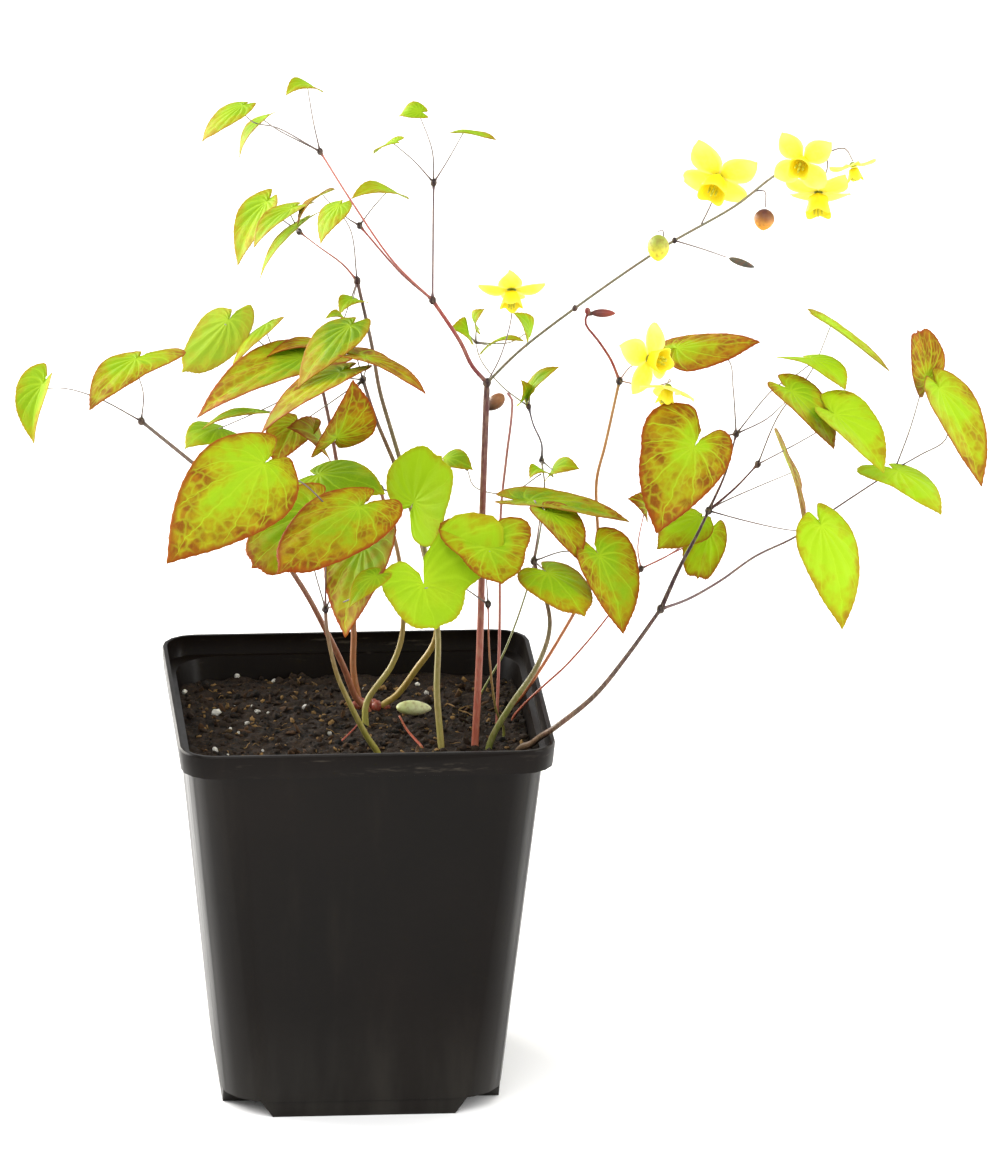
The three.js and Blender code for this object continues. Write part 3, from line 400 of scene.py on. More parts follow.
class Leaflet:
    """A flat heart in the room, rolled about its midrib, folded along it, arched and waved."""

    def __init__(self, base, tip, width, roll, fold=8, arch=1.5, skew=0.1, wave=0.5, lobes=1,
                 blunt=0):
        self.base = seen(base)
        along = seen(tip) - self.base
        self.length = np.linalg.norm(along)
        self.along = along / self.length
        face = unit(TO_VIEWER - self.along * np.dot(TO_VIEWER, self.along))
        self.face = turned(face, self.along, roll)
        self.side = np.cross(self.face, self.along)
        self.width, self.fold, self.arch = width, math.tan(math.radians(fold)), arch
        self.skew, self.wave, self.lobes, self.blunt = skew, wave, lobes, blunt

    def at(self, angle, reach, lift):
        degrees = math.degrees(angle)
        reach *= 1 - self.blunt * BLUNT_LOSS * math.exp(-((degrees / BLUNT_ANGLE) ** 2))
        behind = smooth_step(abs(degrees), *LOBE_ANGLES)
        lobe = 1 + behind * (self.lobes - 1 + self.skew * math.copysign(1, angle))
        t = reach * math.cos(angle) * lobe
        s = reach * math.sin(angle) * lobe * self.width
        soft = FOLD_SOFTNESS * self.width
        folded = self.fold * (math.hypot(s, soft) - soft)
        arched = 4 * self.arch * t * (1 - t)
        waved = self.wave * reach * reach * math.sin(WAVES * angle)
        return (self.base + self.along * (t * self.length) + self.side * s
                + self.face * (folded + arched + waved + lift))


def relief(angle, reach, length):
    """The blade domes up between its main veins, and the dome dies out at both ends."""
    start = angle / (1 - VEIN_BEND * reach)
    between = 0.5 - 0.5 * math.cos(2 * math.pi * start / VEIN_GAP)
    return (between - 0.5) * DOME * length * reach * (1.1 - reach)


def blade(growth, leaflet, flush, shade, seed):
    """A leaflet as a closed thin blade with bristles. A small one takes fewer points."""
    size = leaflet.length
    fine = size > LARGE
    half = HALF_OUTLINE if fine else HALF_OUTLINE[::2] + [HALF_OUTLINE[-1]]
    spokes = [(-a, r) for a, r in half[:0:-1]] + half
    rings = RINGS if fine else RINGS[1::2] + [1]
    points, blades, traits = [], [], []
    for side in (1, -1):
        for ring in [0] + rings:
            for k, (angle, reach) in enumerate(spokes if ring else [(0, 0)]):
                rim = 1 if ring < 1 or k % TOOTH_EVERY else 1 + TOOTH + BRISTLE / size
                thin = MARGIN_HALF + (BLADE_HALF - MARGIN_HALF) * (1 - ring ** 3)
                lift = side * thin + relief(angle, ring, size)
                points.append(leaflet.at(angle, reach * ring * rim, lift))
                blades.append((angle, ring, reach * ring * size))
                traits.append((flush, shade, seed + (side < 0)))
    count, under = len(spokes), len(points) // 2
    faces = []

    def both(*corners):
        faces.append(corners)
        faces.append(tuple(under + c for c in reversed(corners)))

    for i in range(count - 1):
        both(0, 1 + i, 2 + i)
        for r in range(len(rings) - 1):
            a = 1 + r * count + i
            both(a, a + count, a + count + 1, a + 1)
    rim_start = 1 + (len(rings) - 1) * count
    edge = [0] + [1 + r * count for r in range(len(rings) - 1)]
    edge += [rim_start + i for i in range(count)]
    edge += [r * count for r in range(len(rings) - 1, 0, -1)]
    for a, b in zip(edge, edge[1:] + edge[:1]):
        faces.append((a, under + a, under + b, b))
    growth.add(points, faces, blade=blades, traits=traits)


# %% [markdown]
# ## The leaf finish
# Barrenwort leaflets are bright green with paler veins: five to seven main veins fan out from the
# stalklet and bend towards the tip, and a net of finer ones links them. In the cold the green
# between the veins turns bronze, from the margin inwards, while the veins stay lime. The shader
# draws this from the angle to the midrib and the way to the margin, as a share and in millimetres.
# Each leaflet adds how far it has flushed, how deep its green is, and a seed of its own.

# %% Shader helpers
def tree_of(*values):
    """The node tree that the first linked value comes from."""
    return next(v.id_data for v in values if isinstance(v, bpy.types.NodeSocket))


def arithmetic(operation, a, b=0.0, c=0.0):
    made = node(tree_of(a, b, c), "ShaderNodeMath", {0: a, 1: b, 2: c}, operation=operation)
    return made.outputs[0]


def times(a, b):
    return arithmetic("MULTIPLY", a, b)


def plus(a, b):
    return arithmetic("ADD", a, b)


def ramp(value, low, high, to_low=0.0, to_high=1.0, smooth=True):
    """value carried from low..high to to_low..to_high, held at both ends."""
    made = node(tree_of(value), "ShaderNodeMapRange",
                {"Value": value, "From Min": low, "From Max": high, "To Min": to_low,
                 "To Max": to_high},
                interpolation_type="SMOOTHSTEP" if smooth else "LINEAR")
    return made.outputs[0]


def mix(share, a, b):
    made = node(tree_of(share, a, b), "ShaderNodeMix", {0: share, 6: a, 7: b}, data_type="RGBA")
    return made.outputs[2]


def position(tree):
    return node(tree, "ShaderNodeTexCoord").outputs["Object"]


def note(tree, name):
    """The numbers kept on each point under this name: one by one, then all three together."""
    held = node(tree, "ShaderNodeAttribute", attribute_name=name)
    split = node(tree, "ShaderNodeSeparateXYZ", {0: held.outputs["Vector"]})
    return (*split.outputs, held.outputs["Vector"])


def speckle(where, scale, detail=2.0, roughness=0.5):
    made = node(tree_of(where), "ShaderNodeTexNoise", {
        "Vector": where, "Scale": scale, "Detail": detail, "Roughness": roughness})
    return made.outputs[0]


def net(where, scale, randomness):
    """How far a point lies from the nearest line of an irregular net."""
    made = node(tree_of(where), "ShaderNodeTexVoronoi", {
        "Vector": where, "Scale": scale, "Randomness": randomness},
        feature="DISTANCE_TO_EDGE", voronoi_dimensions="2D")
    return made.outputs["Distance"]


def stretched(where, scale):
    """Places for a pattern that is drawn out along the axes with a small scale."""
    made = node(tree_of(where), "ShaderNodeMapping", {"Vector": where, "Scale": scale})
    return made.outputs[0]


def uneven(height, strength, depth, below=None):
    """The way the surface faces once it rises and falls by up to depth metres."""
    inputs = {"Height": height, "Strength": strength, "Distance": depth}
    if below is not None:
        inputs["Normal"] = below
    return node(tree_of(height), "ShaderNodeBump", inputs).outputs[0]


def finished(colour, roughness, normal, specular=0.5, through=None, share=0.3):
    """Ends a finish. Thin pieces also let a share of the light through."""
    tree = tree_of(colour)
    surface = node(tree, "ShaderNodeBsdfPrincipled", {
        "Base Color": colour, "Roughness": roughness, "Normal": normal,
        "Specular IOR Level": specular}).outputs[0]
    if through is not None:
        glow = node(tree, "ShaderNodeBsdfTranslucent", {"Color": through}).outputs[0]
        surface = node(tree, "ShaderNodeMixShader", {0: share, 1: surface, 2: glow}).outputs[0]
    node(tree, "ShaderNodeOutputMaterial", {"Surface": surface})


# %% The leaf finish
leaf_finish, tree = material("leaf_finish")
angle, ring, reach_mm, _ = note(tree, "blade")
flush, shade, seed, _ = note(tree, "traits")
is_under = ramp(seed, 0.99, 1.01)
place = position(tree)
cloud = speckle(place, 90.0, 3.0)
patch = speckle(place, 260.0)
wander = speckle(place, 180.0)
bent = arithmetic("DIVIDE", angle, ramp(ring, 0, 1, 1, 1 - VEIN_BEND, smooth=False))
bent = plus(bent, ramp(wander, 0.2, 0.8, -0.09, 0.09, smooth=False))
off_vein = arithmetic("PINGPONG", bent, VEIN_GAP / 2)
off_vein_mm = times(off_vein, reach_mm)
main_half = ramp(ring, 0, 1, 0.75, 0.32, smooth=False)
main_vein = ramp(arithmetic("DIVIDE", off_vein_mm, main_half), 0.1, 1.0, 1, 0)
near_base = ramp(ring, 0.0, 0.35, 1, 0)
sideways = arithmetic("MULTIPLY_ADD", bent, 2.6 / VEIN_GAP, times(seed, 37))
outwards = plus(times(reach_mm, 1 / 3.4), times(patch, 0.9))
cell = node(tree, "ShaderNodeCombineXYZ", {0: sideways, 1: outwards}).outputs[0]
side_vein = ramp(net(cell, 1.0, 0.9), 0.0, 0.2, 1, 0)
side_vein = times(side_vein, ramp(cloud, 0.3, 0.65, 0.1, 0.55))
fine_vein = ramp(net(place, 900.0, 1.0), 0.0, 0.12, 1, 0)
veins = arithmetic("MAXIMUM", main_vein, side_vein)
veins = arithmetic("MAXIMUM", veins, times(near_base, 0.5))

green = mix(ramp(shade, 0.0, 0.5, smooth=False), "#abcf18", "#8cb012")
green = mix(ramp(shade, 0.5, 1.0, smooth=False), green, "#5f8210")
green = mix(ramp(cloud, 0.4, 0.7, 0, 0.35), green, "#b4c324")
reddened = plus(times(ring, 0.8), arithmetic("MULTIPLY_ADD", cloud, 1.1, -0.55))
reddened = plus(reddened, ramp(patch, 0.3, 0.7, -0.14, 0.14))
over = plus(reddened, arithmetic("SUBTRACT", flush, 1.0))
kept_green = arithmetic("MULTIPLY_ADD", veins, -0.7, 1.0)
tan_share = times(ramp(over, -0.4, 0.1, 0, 0.7), kept_green)
bronze_share = times(ramp(over, -0.1, 0.42, 0, 0.9), kept_green)
colour = mix(tan_share, green, mix(patch, "#a89602", "#a87806"))
bronze = mix(ramp(patch, 0.35, 0.65), "#a4580c", "#80340c")
colour = mix(bronze_share, colour, bronze)
vein_tone = mix(flush, "#b8da2a", "#b6c22a")
colour = mix(times(veins, ramp(flush, 0.1, 0.6, 0.28, 0.45)), colour, vein_tone)
colour = mix(times(fine_vein, 0.08), colour, vein_tone)
rim = times(ramp(ring, 0.9, 0.99), ramp(flush, 0.0, 0.5, 0.45, 0.9))
colour = mix(rim, colour, mix(ramp(flush, 0.1, 0.5), "#a88e12", "#90380e"))
colour = mix(times(is_under, 0.25), colour, "#b4bf4c")
height = arithmetic("MULTIPLY_ADD", veins, -0.6, times(fine_vein, -0.15))
finished(colour, ramp(patch, 0.3, 0.7, 0.5, 0.62),
         uneven(height, 0.3, 0.0003), 0.1, through=mix(0.35, colour, "#bcd40c"))
print("leaf finish:", len(tree.nodes), "nodes")

# %% [markdown]
# ## The stalk finish
# Stalks are wiry and shiny. Their colour runs from olive near the mix to red-brown and plum, and
# the joints are nearly black. Each stalk keeps its own run of colour on its points, and the
# shader adds fine lengthwise flecks and a soft gloss.

# %% The stalk finish
stalk_finish, tree = material("stalk_finish")
stain = note(tree, "stain")[3]
place = position(tree)
drawn = stretched(place, (1, 1, 0.25))
fleck = speckle(drawn, 1400.0, 3.0)
streak = speckle(drawn, 350.0)
colour = mix(ramp(streak, 0.45, 0.75, 0, 0.25), stain, "#6a3028")
colour = mix(ramp(fleck, 0.4, 0.7, 0, 0.12), colour, "#d8c09a")
finished(colour, ramp(streak, 0.3, 0.7, 0.34, 0.5), uneven(fleck, 0.2, 0.0001), 0.3)

# %% [markdown]
# ## Fronds
# Each frond is a stalk out of the mix with joints, thin branches and leaflets. The points follow
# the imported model, so that a fine leaflet lies on its plain one. Each leaflet also says how far
# the bronze has spread over it and how deep its green is.

# %% How a frond is set out
ROOTED_DEPTH = 7
STEM, FLOWER_STEM, BRANCH, THIN, FINE = 1.05, 1.1, 0.65, 0.45, 0.34
STALKLET, THREAD = 0.24, 0.24
STALKLET_SUNK, STALKLET_TAPER, STALKLET_KNOT = 0.06, 0.3, 0.45
KNOB_SHARE = 0.85
SEED_RANGE = 0.9
NO_KNOT, START_KNOT, KNOTTED, BOTH = (False, False), (True, False), (False, True), (True, True)
draw = random.Random(7)


def rooted(route):
    across, height, back = route[0]
    return [(across, height - ROOTED_DEPTH, back), *route]


def leaf(way, base, tip, width, roll, flush=0.25, shade=0.6, **traits):
    """A leaflet, and its stalklet along way, which runs a little into the blade."""
    sunk = tuple(b + (t - b) * STALKLET_SUNK for b, t in zip(base, tip))
    return [*way, sunk], Leaflet(base, tip, width, roll, **traits), flush, shade


def grow(name, slot, stems, leaves=(), joints=(), threads=(), stain=("#4a3a3c", "#8e8684"),
         taper=0.5):
    """Makes one frond: its stalks as one piece and its leaflets as another."""
    stalks, blades = Growth(name + "_stalks"), Growth(name + "_leaves")
    for i, (route, radius, low, high, knots) in enumerate(stems):
        stalk(stalks, route if i else rooted(route), radius, low, high, taper, knots)
    for route in threads:
        stalk(stalks, route, THREAD, *stain, knots=NO_KNOT)
    for place, radius, *tone in joints:
        knob(stalks, place, radius * KNOB_SHARE, *tone)
    for way, leaflet, flush, shade in leaves:
        stalk(stalks, way, STALKLET, *stain, STALKLET_TAPER, START_KNOT, STALKLET_KNOT)
        blade(blades, leaflet, flush, shade, draw.random() * SEED_RANGE)
    stalks.finish(stalk_finish, "red_stem", name)
    if leaves:
        blades.finish(leaf_finish, slot, name)


print("stalks are", STALKLET, "to", FLOWER_STEM, "mm in radius")

# %% The flowering stem
fork, leaf_joint, top_joint = (37.5, 204, -10), (21, 228.5, -8), (21, 263.5, -5)
far_joint, near_joint = (-13, 272.5, -18), (-1, 250.5, -7)
spray_fork, spray_end = (93, 247, -19), (137.5, 273.5, -24)
grow("flowering_stem", "leaf", taper=0.12, stems=[
    ([(35, 94.5, -15), (36, 120, -14), (36.5, 145, -13), (36.5, 163, -12), fork], FLOWER_STEM,
     "#a65a48", "#2e1a1f", KNOTTED),
    ([fork, (33, 209, -10), (29.5, 216, -9), leaf_joint], BRANCH, "#5a1f24", "#8e3d38", BOTH),
    ([leaf_joint, (21, 246, -6), top_joint], FINE, "#6a5a5e", "#5a4a50", BOTH),
    ([leaf_joint, (9.5, 239.5, -10), (-3, 257, -14), far_joint], FINE, "#8e4640", "#b06a60", BOTH),
    ([leaf_joint, (12, 236, -8), near_joint], FINE, "#6a4a48", "#8e4640", BOTH),
    ([fork, (47, 213.5, -12), (63.5, 226.5, -15), (83, 240.5, -18), spray_fork, (111, 257.5, -21),
     (124, 267.5, -23), spray_end], THIN, "#4e4c38", "#77735e", BOTH),
], joints=[
    ((36.5, 139.5, -13), 1.35), (fork, 1.5), (leaf_joint, 1.3), (top_joint, 1.2), (far_joint, 1.1),
    (near_joint, 1.1), ((63.5, 226.5, -15), 1.0), (spray_fork, 0.95), (spray_end, 0.85),
], threads=[
    [fork, (41.5, 212, -3), (44.5, 223, 2), (44.8, 231, 1.5), (44.8, 234.5, -4), (44.6, 233, -9.6)],
    [spray_fork, (101, 244.7, -20), (108.5, 242.2, -21)],
    [(101, 252, -20), (104, 258.5, -13), (106.3, 267.3, -20.2)],
    [(117, 262, -22), (119.8, 262, -22), (120, 257.2, -22)],
    [(127, 269.5, -23), (128.5, 272.5, -25.5), (130.9, 271.6, -28.1)],
    [spray_end, (138.5, 270, -20), (137.5, 266.5, -17), (135.8, 263.1, -15.4)],
    [spray_end, (143.5, 275, -23), (146, 271.2, -23.6)],
    [(90, 245, -18.7), (89.5, 250, -20), (88.2, 249.6, -23)],
], leaves=[
    leaf([top_joint, (20.5, 273, -4)], (16.5, 284.7, -3), (10.7, 283.1, 2), 6, 45, fold=12,
         lobes=0.8),
    leaf([top_joint, (25, 270, -6)], (29, 278.5, -7), (39.5, 276.5, -12), 8, -78, arch=0.5),
    leaf([top_joint, (15, 270, -4)], (9, 275.5, -3), (3, 272, 3), 7, 84, arch=0.5),
    leaf([far_joint, (-15, 281, -17)], (-16.6, 292.3, -16), (-23.4, 289, -21), 8, 50, lobes=1.1),
    leaf([far_joint, (-26, 279, -20)], (-29.5, 282.5, -20), (-37, 270.5, -26), 12, 73, lobes=0.5),
    leaf([far_joint, (-26, 279.5, -22), (-33, 281, -25)], (-36.3, 285.8, -26), (-49.5, 273, -32),
         14, 62, fold=-2, lobes=0.5, blunt=0.4),
    leaf([near_joint, (-5, 253, -9)], (-7, 256.5, -10), (-12.5, 245, -15), 12, 51, fold=-3,
         lobes=0.6),
    leaf([near_joint, (3, 256, -5)], (8, 261, -4), (-3.5, 258.5, -12), 11, 62),
])

# %% The red flowering stem and the bud stem
joint = (77, 205, 0)
grow("red_flowering_stem", "red_stem", stain=("#8d6a60", "#8a807c"), taper=0.2, stems=[
    ([(44.5, 105, 16), (49.5, 111.5, 11), (59, 126.5, 7), (69, 145.5, 6), (71, 154.5, 6),
     (70.5, 175, 5), (73, 186, 3), joint], THIN + 0.12, "#b0603f", "#96703f", KNOTTED),
    ([joint, (74.5, 211, 0), (70.5, 217, 0), (66.8, 221.8, 0), (67.1, 224.4, 0), (68.6, 225, 0)],
     THIN, "#7e2b2a", "#6a2022", BOTH),
], joints=[(joint, 1.35), ((67.3, 225.7, 0), 1.1, "#6a2022")], threads=[
    [joint, (80, 209, -2), (84.6, 211.6, -4)],
    [joint, (82, 204, 1), (88, 203.5, 3), (92, 204.8, 2), (91.9, 205.6, -4), (91.6, 204.6, -9.2)],
])
grow("pink_bud_stem", "red_stem", taper=0.1, stems=[
    ([(41.5, 100.5, 4), (42, 130, 8), (42, 165, 14), (43.5, 181.5, 12), (45, 195, 8), (45, 199, 8),
     (43.7, 201, 8)], THIN, "#a0584a", "#9a6a6c", NO_KNOT)])

# %% The fronds on the left
joint = (-65.5, 191.5, -8)
grow("frond_left", "leaf", stems=[
    ([(3.5, 105, 18), (-0.5, 109.5, 17), (-4.5, 119, 14), (-10, 130, 10), (-17, 142.5, 7),
     (-36, 168, 1), (-51, 180, -4), joint], STEM, "#955538", "#5f5650", KNOTTED),
], joints=[(joint, 1.3)], leaves=[
    leaf([joint, (-78, 198, -9), (-88, 201, -10)], (-95, 202, -10), (-97.5, 184.5, -18), 14, 49,
         fold=25, skew=-0.3),
    leaf([joint, (-65, 200, -6)], (-67.4, 209.9, -4), (-81, 194.5, -20), 18, 46, fold=0, skew=0.5,
         lobes=1.15, flush=0.4),
])
joint, side_joint = (-12.5, 205.5, 34), (-25, 210, 38)
grow("frond_back_left", "leaf", stems=[
    ([(0.5, 107, 26), (-1.5, 118, 28), (-1.5, 130, 30), (-4, 160, 33), (-9, 190, 34), joint], STEM,
     "#9c6438", PLUM, KNOTTED),
    ([joint, (-19, 206, 36), side_joint], FINE, PLUM, MAUVE, BOTH),
], joints=[(joint, 1.3), (side_joint, 1.1)], leaves=[
    leaf([side_joint, (-31, 216, 42)], (-39.9, 221.8, 44), (-57, 203, 38), 17, 208, lobes=0.7,
         blunt=0.6, skew=-0.3),
    leaf([side_joint], (-28.5, 220.8, 40), (-38.8, 206.7, 30), 13, 70, fold=-9, lobes=0.7,
         shade=0.7),
    leaf([joint, (-15, 206, 30)], (-17.3, 211, 26), (-49, 192.6, 12), 23, 55, arch=3, flush=0.45,
         shade=0.8),
    leaf([joint, (-24, 198, 28)], (-42.4, 189.5, 22), (-52.3, 183.5, 14), 16, 48, fold=-7,
         flush=0.1, shade=0.7),
    leaf([joint, (-10, 211, 34)], (-13, 215, 34), (-28.3, 211, 26), 10, 66, flush=0.85),
    leaf([joint, (-22, 196, 30)], (-32, 195, 24), (-47.4, 189.2, 16), 9, 70, fold=0, flush=0.3,
         shade=0.7),
])
joint, far_joint = (-1.5, 234, 14), (-19, 248.5, 19)
grow("frond_top_left", "leaf", stems=[
    ([(25, 94, -16), (23.5, 111.5, -12), (23.5, 130, -6), (18, 160, 2), (10, 186.5, 7),
     (5.5, 201.5, 10), (3, 215, 12), joint], STEM, "#8c8240", "#4c3a40", KNOTTED),
    ([joint, (-6, 239, 15), (-13, 244, 17), far_joint], FINE, "#9a5a52", "#a86a60", BOTH),
], joints=[(joint, 1.3), (far_joint, 1.1)], leaves=[
    leaf([far_joint, (-24, 252, 23)], (-28.8, 257.2, 26), (-37.2, 238.2, 18), 16, 51, fold=10,
         skew=-0.1, lobes=0.6),
    leaf([far_joint], (-21.5, 255.3, 13), (-32.5, 243.5, 2), 13, 60),
    leaf([far_joint], (-19.5, 250.5, 13), (-30.5, 234.5, 3), 12, 74, fold=4),
    leaf([joint, (-4, 250, 14)], (-11.5, 260, 13), (-19.5, 250.5, 5), 12, 80, lobes=0.5,
         flush=0.85),
    leaf([joint], (-2.5, 228.5, 11), (-6.5, 224, 7), 7, 40, lobes=1.3),
    leaf([joint], (-5, 222.5, 16), (-11, 222.5, 12), 6, 60),
])
# Red bud scales sit on the mix round the foot of the next stalk. Seen from above, the mix rises
# in the picture by this share of the way back.
MIX_RISE = 0.3234
CROWN_KNOBS = [((across, 107.1 + MIX_RISE * (back - 21), back), radius, "#7a2e20")
               for across, back, radius in ((1, 22.5, 2.2), (3.2, 21.5, 2.5), (5.6, 20, 2.2),
                                            (8.2, 20.5, 1.8), (-0.8, 20.5, 1.8), (4.6, 22.5, 1.9))]
joint = (0.5, 204.5, -2)
grow("frond_middle_left", "bronze_leaf", stems=[
    ([(6, 106, 20), (11.5, 110.5, 20), (17, 118, 18), (23, 128, 16), (20, 150, 13), (12, 175, 7),
     (4, 194, 1), joint], STEM, "#9c8638", PLUM, KNOTTED),
], joints=[(joint, 1.3), *CROWN_KNOBS], leaves=[
    leaf([joint, (-2, 213, 0)], (-3.6, 220.4, 1), (-18.8, 201.9, -10), 19, 50, fold=0, lobes=0.6,
         flush=0.3, shade=0.95),
    leaf([joint], (-6.5, 206.5, -8), (-29.9, 188, -20), 21, 66, fold=4, arch=2, lobes=0.8,
         flush=0.5, shade=0.75),
    leaf([joint, (1, 206.5, -6)], (1.5, 211, -9), (19.3, 200.5, -18), 13, -70, fold=4, skew=0.4,
         lobes=1.5, flush=0.85),
    leaf([joint, (2, 194, -8)], (-7, 187.5, -12), (-2.5, 204.5, -18), 20, 43, fold=20, flush=0.7),
    leaf([joint, (-6, 196, -4)], (-12, 186, -8), (-22, 190, -14), 14, 54, flush=0.75),
    leaf([joint, (-10, 197, -2)], (-19.4, 191, -4), (-25.5, 178.6, -14), 15, 25, flush=0.55,
         shade=0.85),
])
joint = (6, 172, -4)
grow("frond_inner", "leaf", stems=[
    ([(2.5, 99.5, 2), (2.5, 108, 4), (10, 119.5, 6), (13, 129, 6), (12, 150, 2), joint], STEM,
     "#8a8a38", "#8a5a48", KNOTTED),
], joints=[(joint, 1.3)], leaves=[
    leaf([joint, (-3, 175, -6)], (-12, 176, -10), (7.5, 170.5, -22), 20, -45, fold=-8, skew=-0.2,
         flush=0, shade=0.85),
    leaf([joint], (16.2, 168.4, -12), (28.2, 188.4, -20), 23, -20, fold=10, lobes=1.05, arch=1,
         blunt=1, skew=-0.25, flush=0, shade=0.15),
])
joint, top_joint = (-10, 136, -36), (-9, 166, -38)
grow("frond_front_left", "leaf", stems=[
    ([(6.5, 92, -22), (2.5, 98.5, -25), (-2.5, 108, -29), (-6.5, 117, -32), (-9.5, 130, -35),
     joint], STEM, "#8c8a34", "#5a3830", KNOTTED),
    ([joint, (-10, 150, -36), top_joint], FINE, PLUM, MAUVE, BOTH),
], joints=[(joint, 1.3), (top_joint, 1.1)], leaves=[
    leaf([top_joint, (-18, 174, -38)], (-29, 179, -40), (-57.5, 149, -58), 34, 22, fold=-6, arch=3,
         skew=-0.1, lobes=0.65, flush=0.45, shade=0.3),
    leaf([joint, (-14, 150, -34)], (-15, 164.5, -33), (-37, 142, -40), 26, 34, fold=-4, blunt=0.8,
         flush=0.45),
    leaf([top_joint], (-0.4, 166.4, -42), (-28.6, 141.6, -60), 27, 36, fold=-8, arch=2.5, blunt=0.5,
         lobes=0.8, flush=0.6),
    leaf([joint, (-4, 148, -36)], (1.2, 155, -37), (-4, 127.5, -46), 26, 46, fold=5, flush=0.5),
    leaf([joint, (-1, 140, -46)], (4.6, 145.7, -52), (-3, 136.4, -56), 8, 30, flush=0.2, shade=0.8),
])

# %% The fronds in the middle
joint = (38.5, 138, -20)
grow("frond_front_middle", "leaf", stems=[
    ([(43.5, 101, -2), (41.5, 105.5, -6), (40, 113.5, -12), (39, 124, -17), joint], THIN, OLIVE,
     "#8e4640", KNOTTED),
], joints=[(joint, 1.2)], leaves=[
    leaf([joint, (28, 144, -26)], (19.3, 143.5, -31), (24.8, 126.5, -41), 24, -20, fold=9,
         skew=0.75, lobes=2.05, arch=-1.2, blunt=0.8, flush=0, shade=0.3),
    leaf([joint, (38, 147, -22)], (38.5, 154.5, -24), (43.5, 142.5, -38), 20.5, -25, fold=13,
         lobes=1.7, arch=-0.8, skew=-0.1, blunt=0.5, flush=0.4, shade=0.5),
])
joint, high_joint = (52, 151, -14), (54, 166, -6)
grow("frond_right_of_middle", "leaf", stems=[
    ([(39, 94.5, -15), (41, 100, -16), (46, 108.5, -18), (53.5, 120, -20), (57, 132.5, -20), joint],
     STEM, OLIVE, PLUM, KNOTTED),
    ([joint, (53, 158, -10), high_joint], FINE, PLUM, MAUVE, BOTH),
], joints=[(joint, 1.3), (high_joint, 1.1)], leaves=[
    leaf([joint], (56.5, 147.2, -20), (68.7, 132.3, -34), 22, -45, fold=-8, blunt=0.4, flush=0.35),
    leaf([joint, (62, 154, -12)], (71.5, 152.5, -14), (79, 129.5, -26), 20, -33, fold=17, skew=0.2,
         flush=0.45),
    leaf([high_joint], (56.5, 165.2, -9), (65.5, 151.2, -19), 19, -54, lobes=0.9, flush=0.5,
         shade=0.5),
    leaf([high_joint, (52, 169, -2)], (50.8, 168.9, 2), (80.5, 163, -6), 20, -72, arch=1, lobes=1.1,
         flush=0.35, shade=0.9),
])
joint, top_joint, crown = (54, 181, 22), (50, 197, 24), (34, 216, 27)
grow("frond_young", "leaf", stain=("#75716a", "#9a948c"), taper=0.25, stems=[
    ([(35, 107, 24), (44, 125, 23), (52, 150, 22), (55, 173, 22), joint], FINE, OLIVE, "#6f6a64",
     KNOTTED),
    ([joint, (54, 186, 22), (51.5, 191.5, 23), top_joint], FINE, "#4a4450", "#5a5560", BOTH),
], joints=[(joint, 1.0), (top_joint, 1.0)], threads=[
    [(54, 177, 22), (44, 171, 26), (34, 173, 28), (32, 178, 28)],
    [top_joint, (42, 203, 26), (35.5, 211, 27), crown],
], leaves=[
    leaf([(32, 178, 28)], (25.5, 181, 28), (33.5, 178, 24), 9, -40, lobes=0.6, shade=0.8),
    leaf([joint], (54.5, 178, 18), (50.5, 175.5, 15), 7, 50),
    leaf([joint], (57.3, 177.8, 19), (65.3, 178.6, 14), 9, -52, shade=0.7),
    leaf([top_joint], (50, 201, 25), (59, 209, 21), 7, -56, shade=0.75),
    leaf([top_joint], (49, 199.5, 24), (47.6, 205, 22), 6, 40, shade=0.8),
    leaf([crown], (32, 218.5, 26), (26.5, 220, 21), 9, 40, lobes=0.7),
    leaf([crown], (38, 215, 28), (48.5, 216.5, 24), 6, -76),
    leaf([crown], (34, 221, 28), (36.5, 226, 26), 6, -60),
    leaf([crown, (44, 216, 31)], (50, 219, 30), (45, 225, 28), 8, 50),
])
joint = (84, 149, -4)
grow("frond_red_stalked", "leaf", stain=("#8e4640", "#a5605a"), stems=[
    ([(46, 103, 10), (49, 107.5, 4), (55, 113.5, -2), (62, 120, -4), (73, 133, -4), joint], THIN,
     "#a5583f", "#8e3b36", KNOTTED),
], joints=[(joint, 1.1)], leaves=[
    leaf([joint, (83, 155.5, -5)], (85.5, 167.3, -6), (79.8, 169.8, -10), 8, 30, lobes=1.1,
         flush=0.75),
    leaf([joint, (92, 153, 0), (101, 160, 0)], (101.5, 164.5, -6), (87.5, 153.5, -13), 16, 35,
         fold=-6, blunt=0.3, lobes=0.35, flush=0.35, shade=0),
    leaf([joint, (92, 153, 0), (101, 157.5, 3)], (104.3, 159.7, -2), (100, 140.1, -8), 13.5, 22,
         blunt=1, lobes=0.65, flush=0.4, shade=0),
])

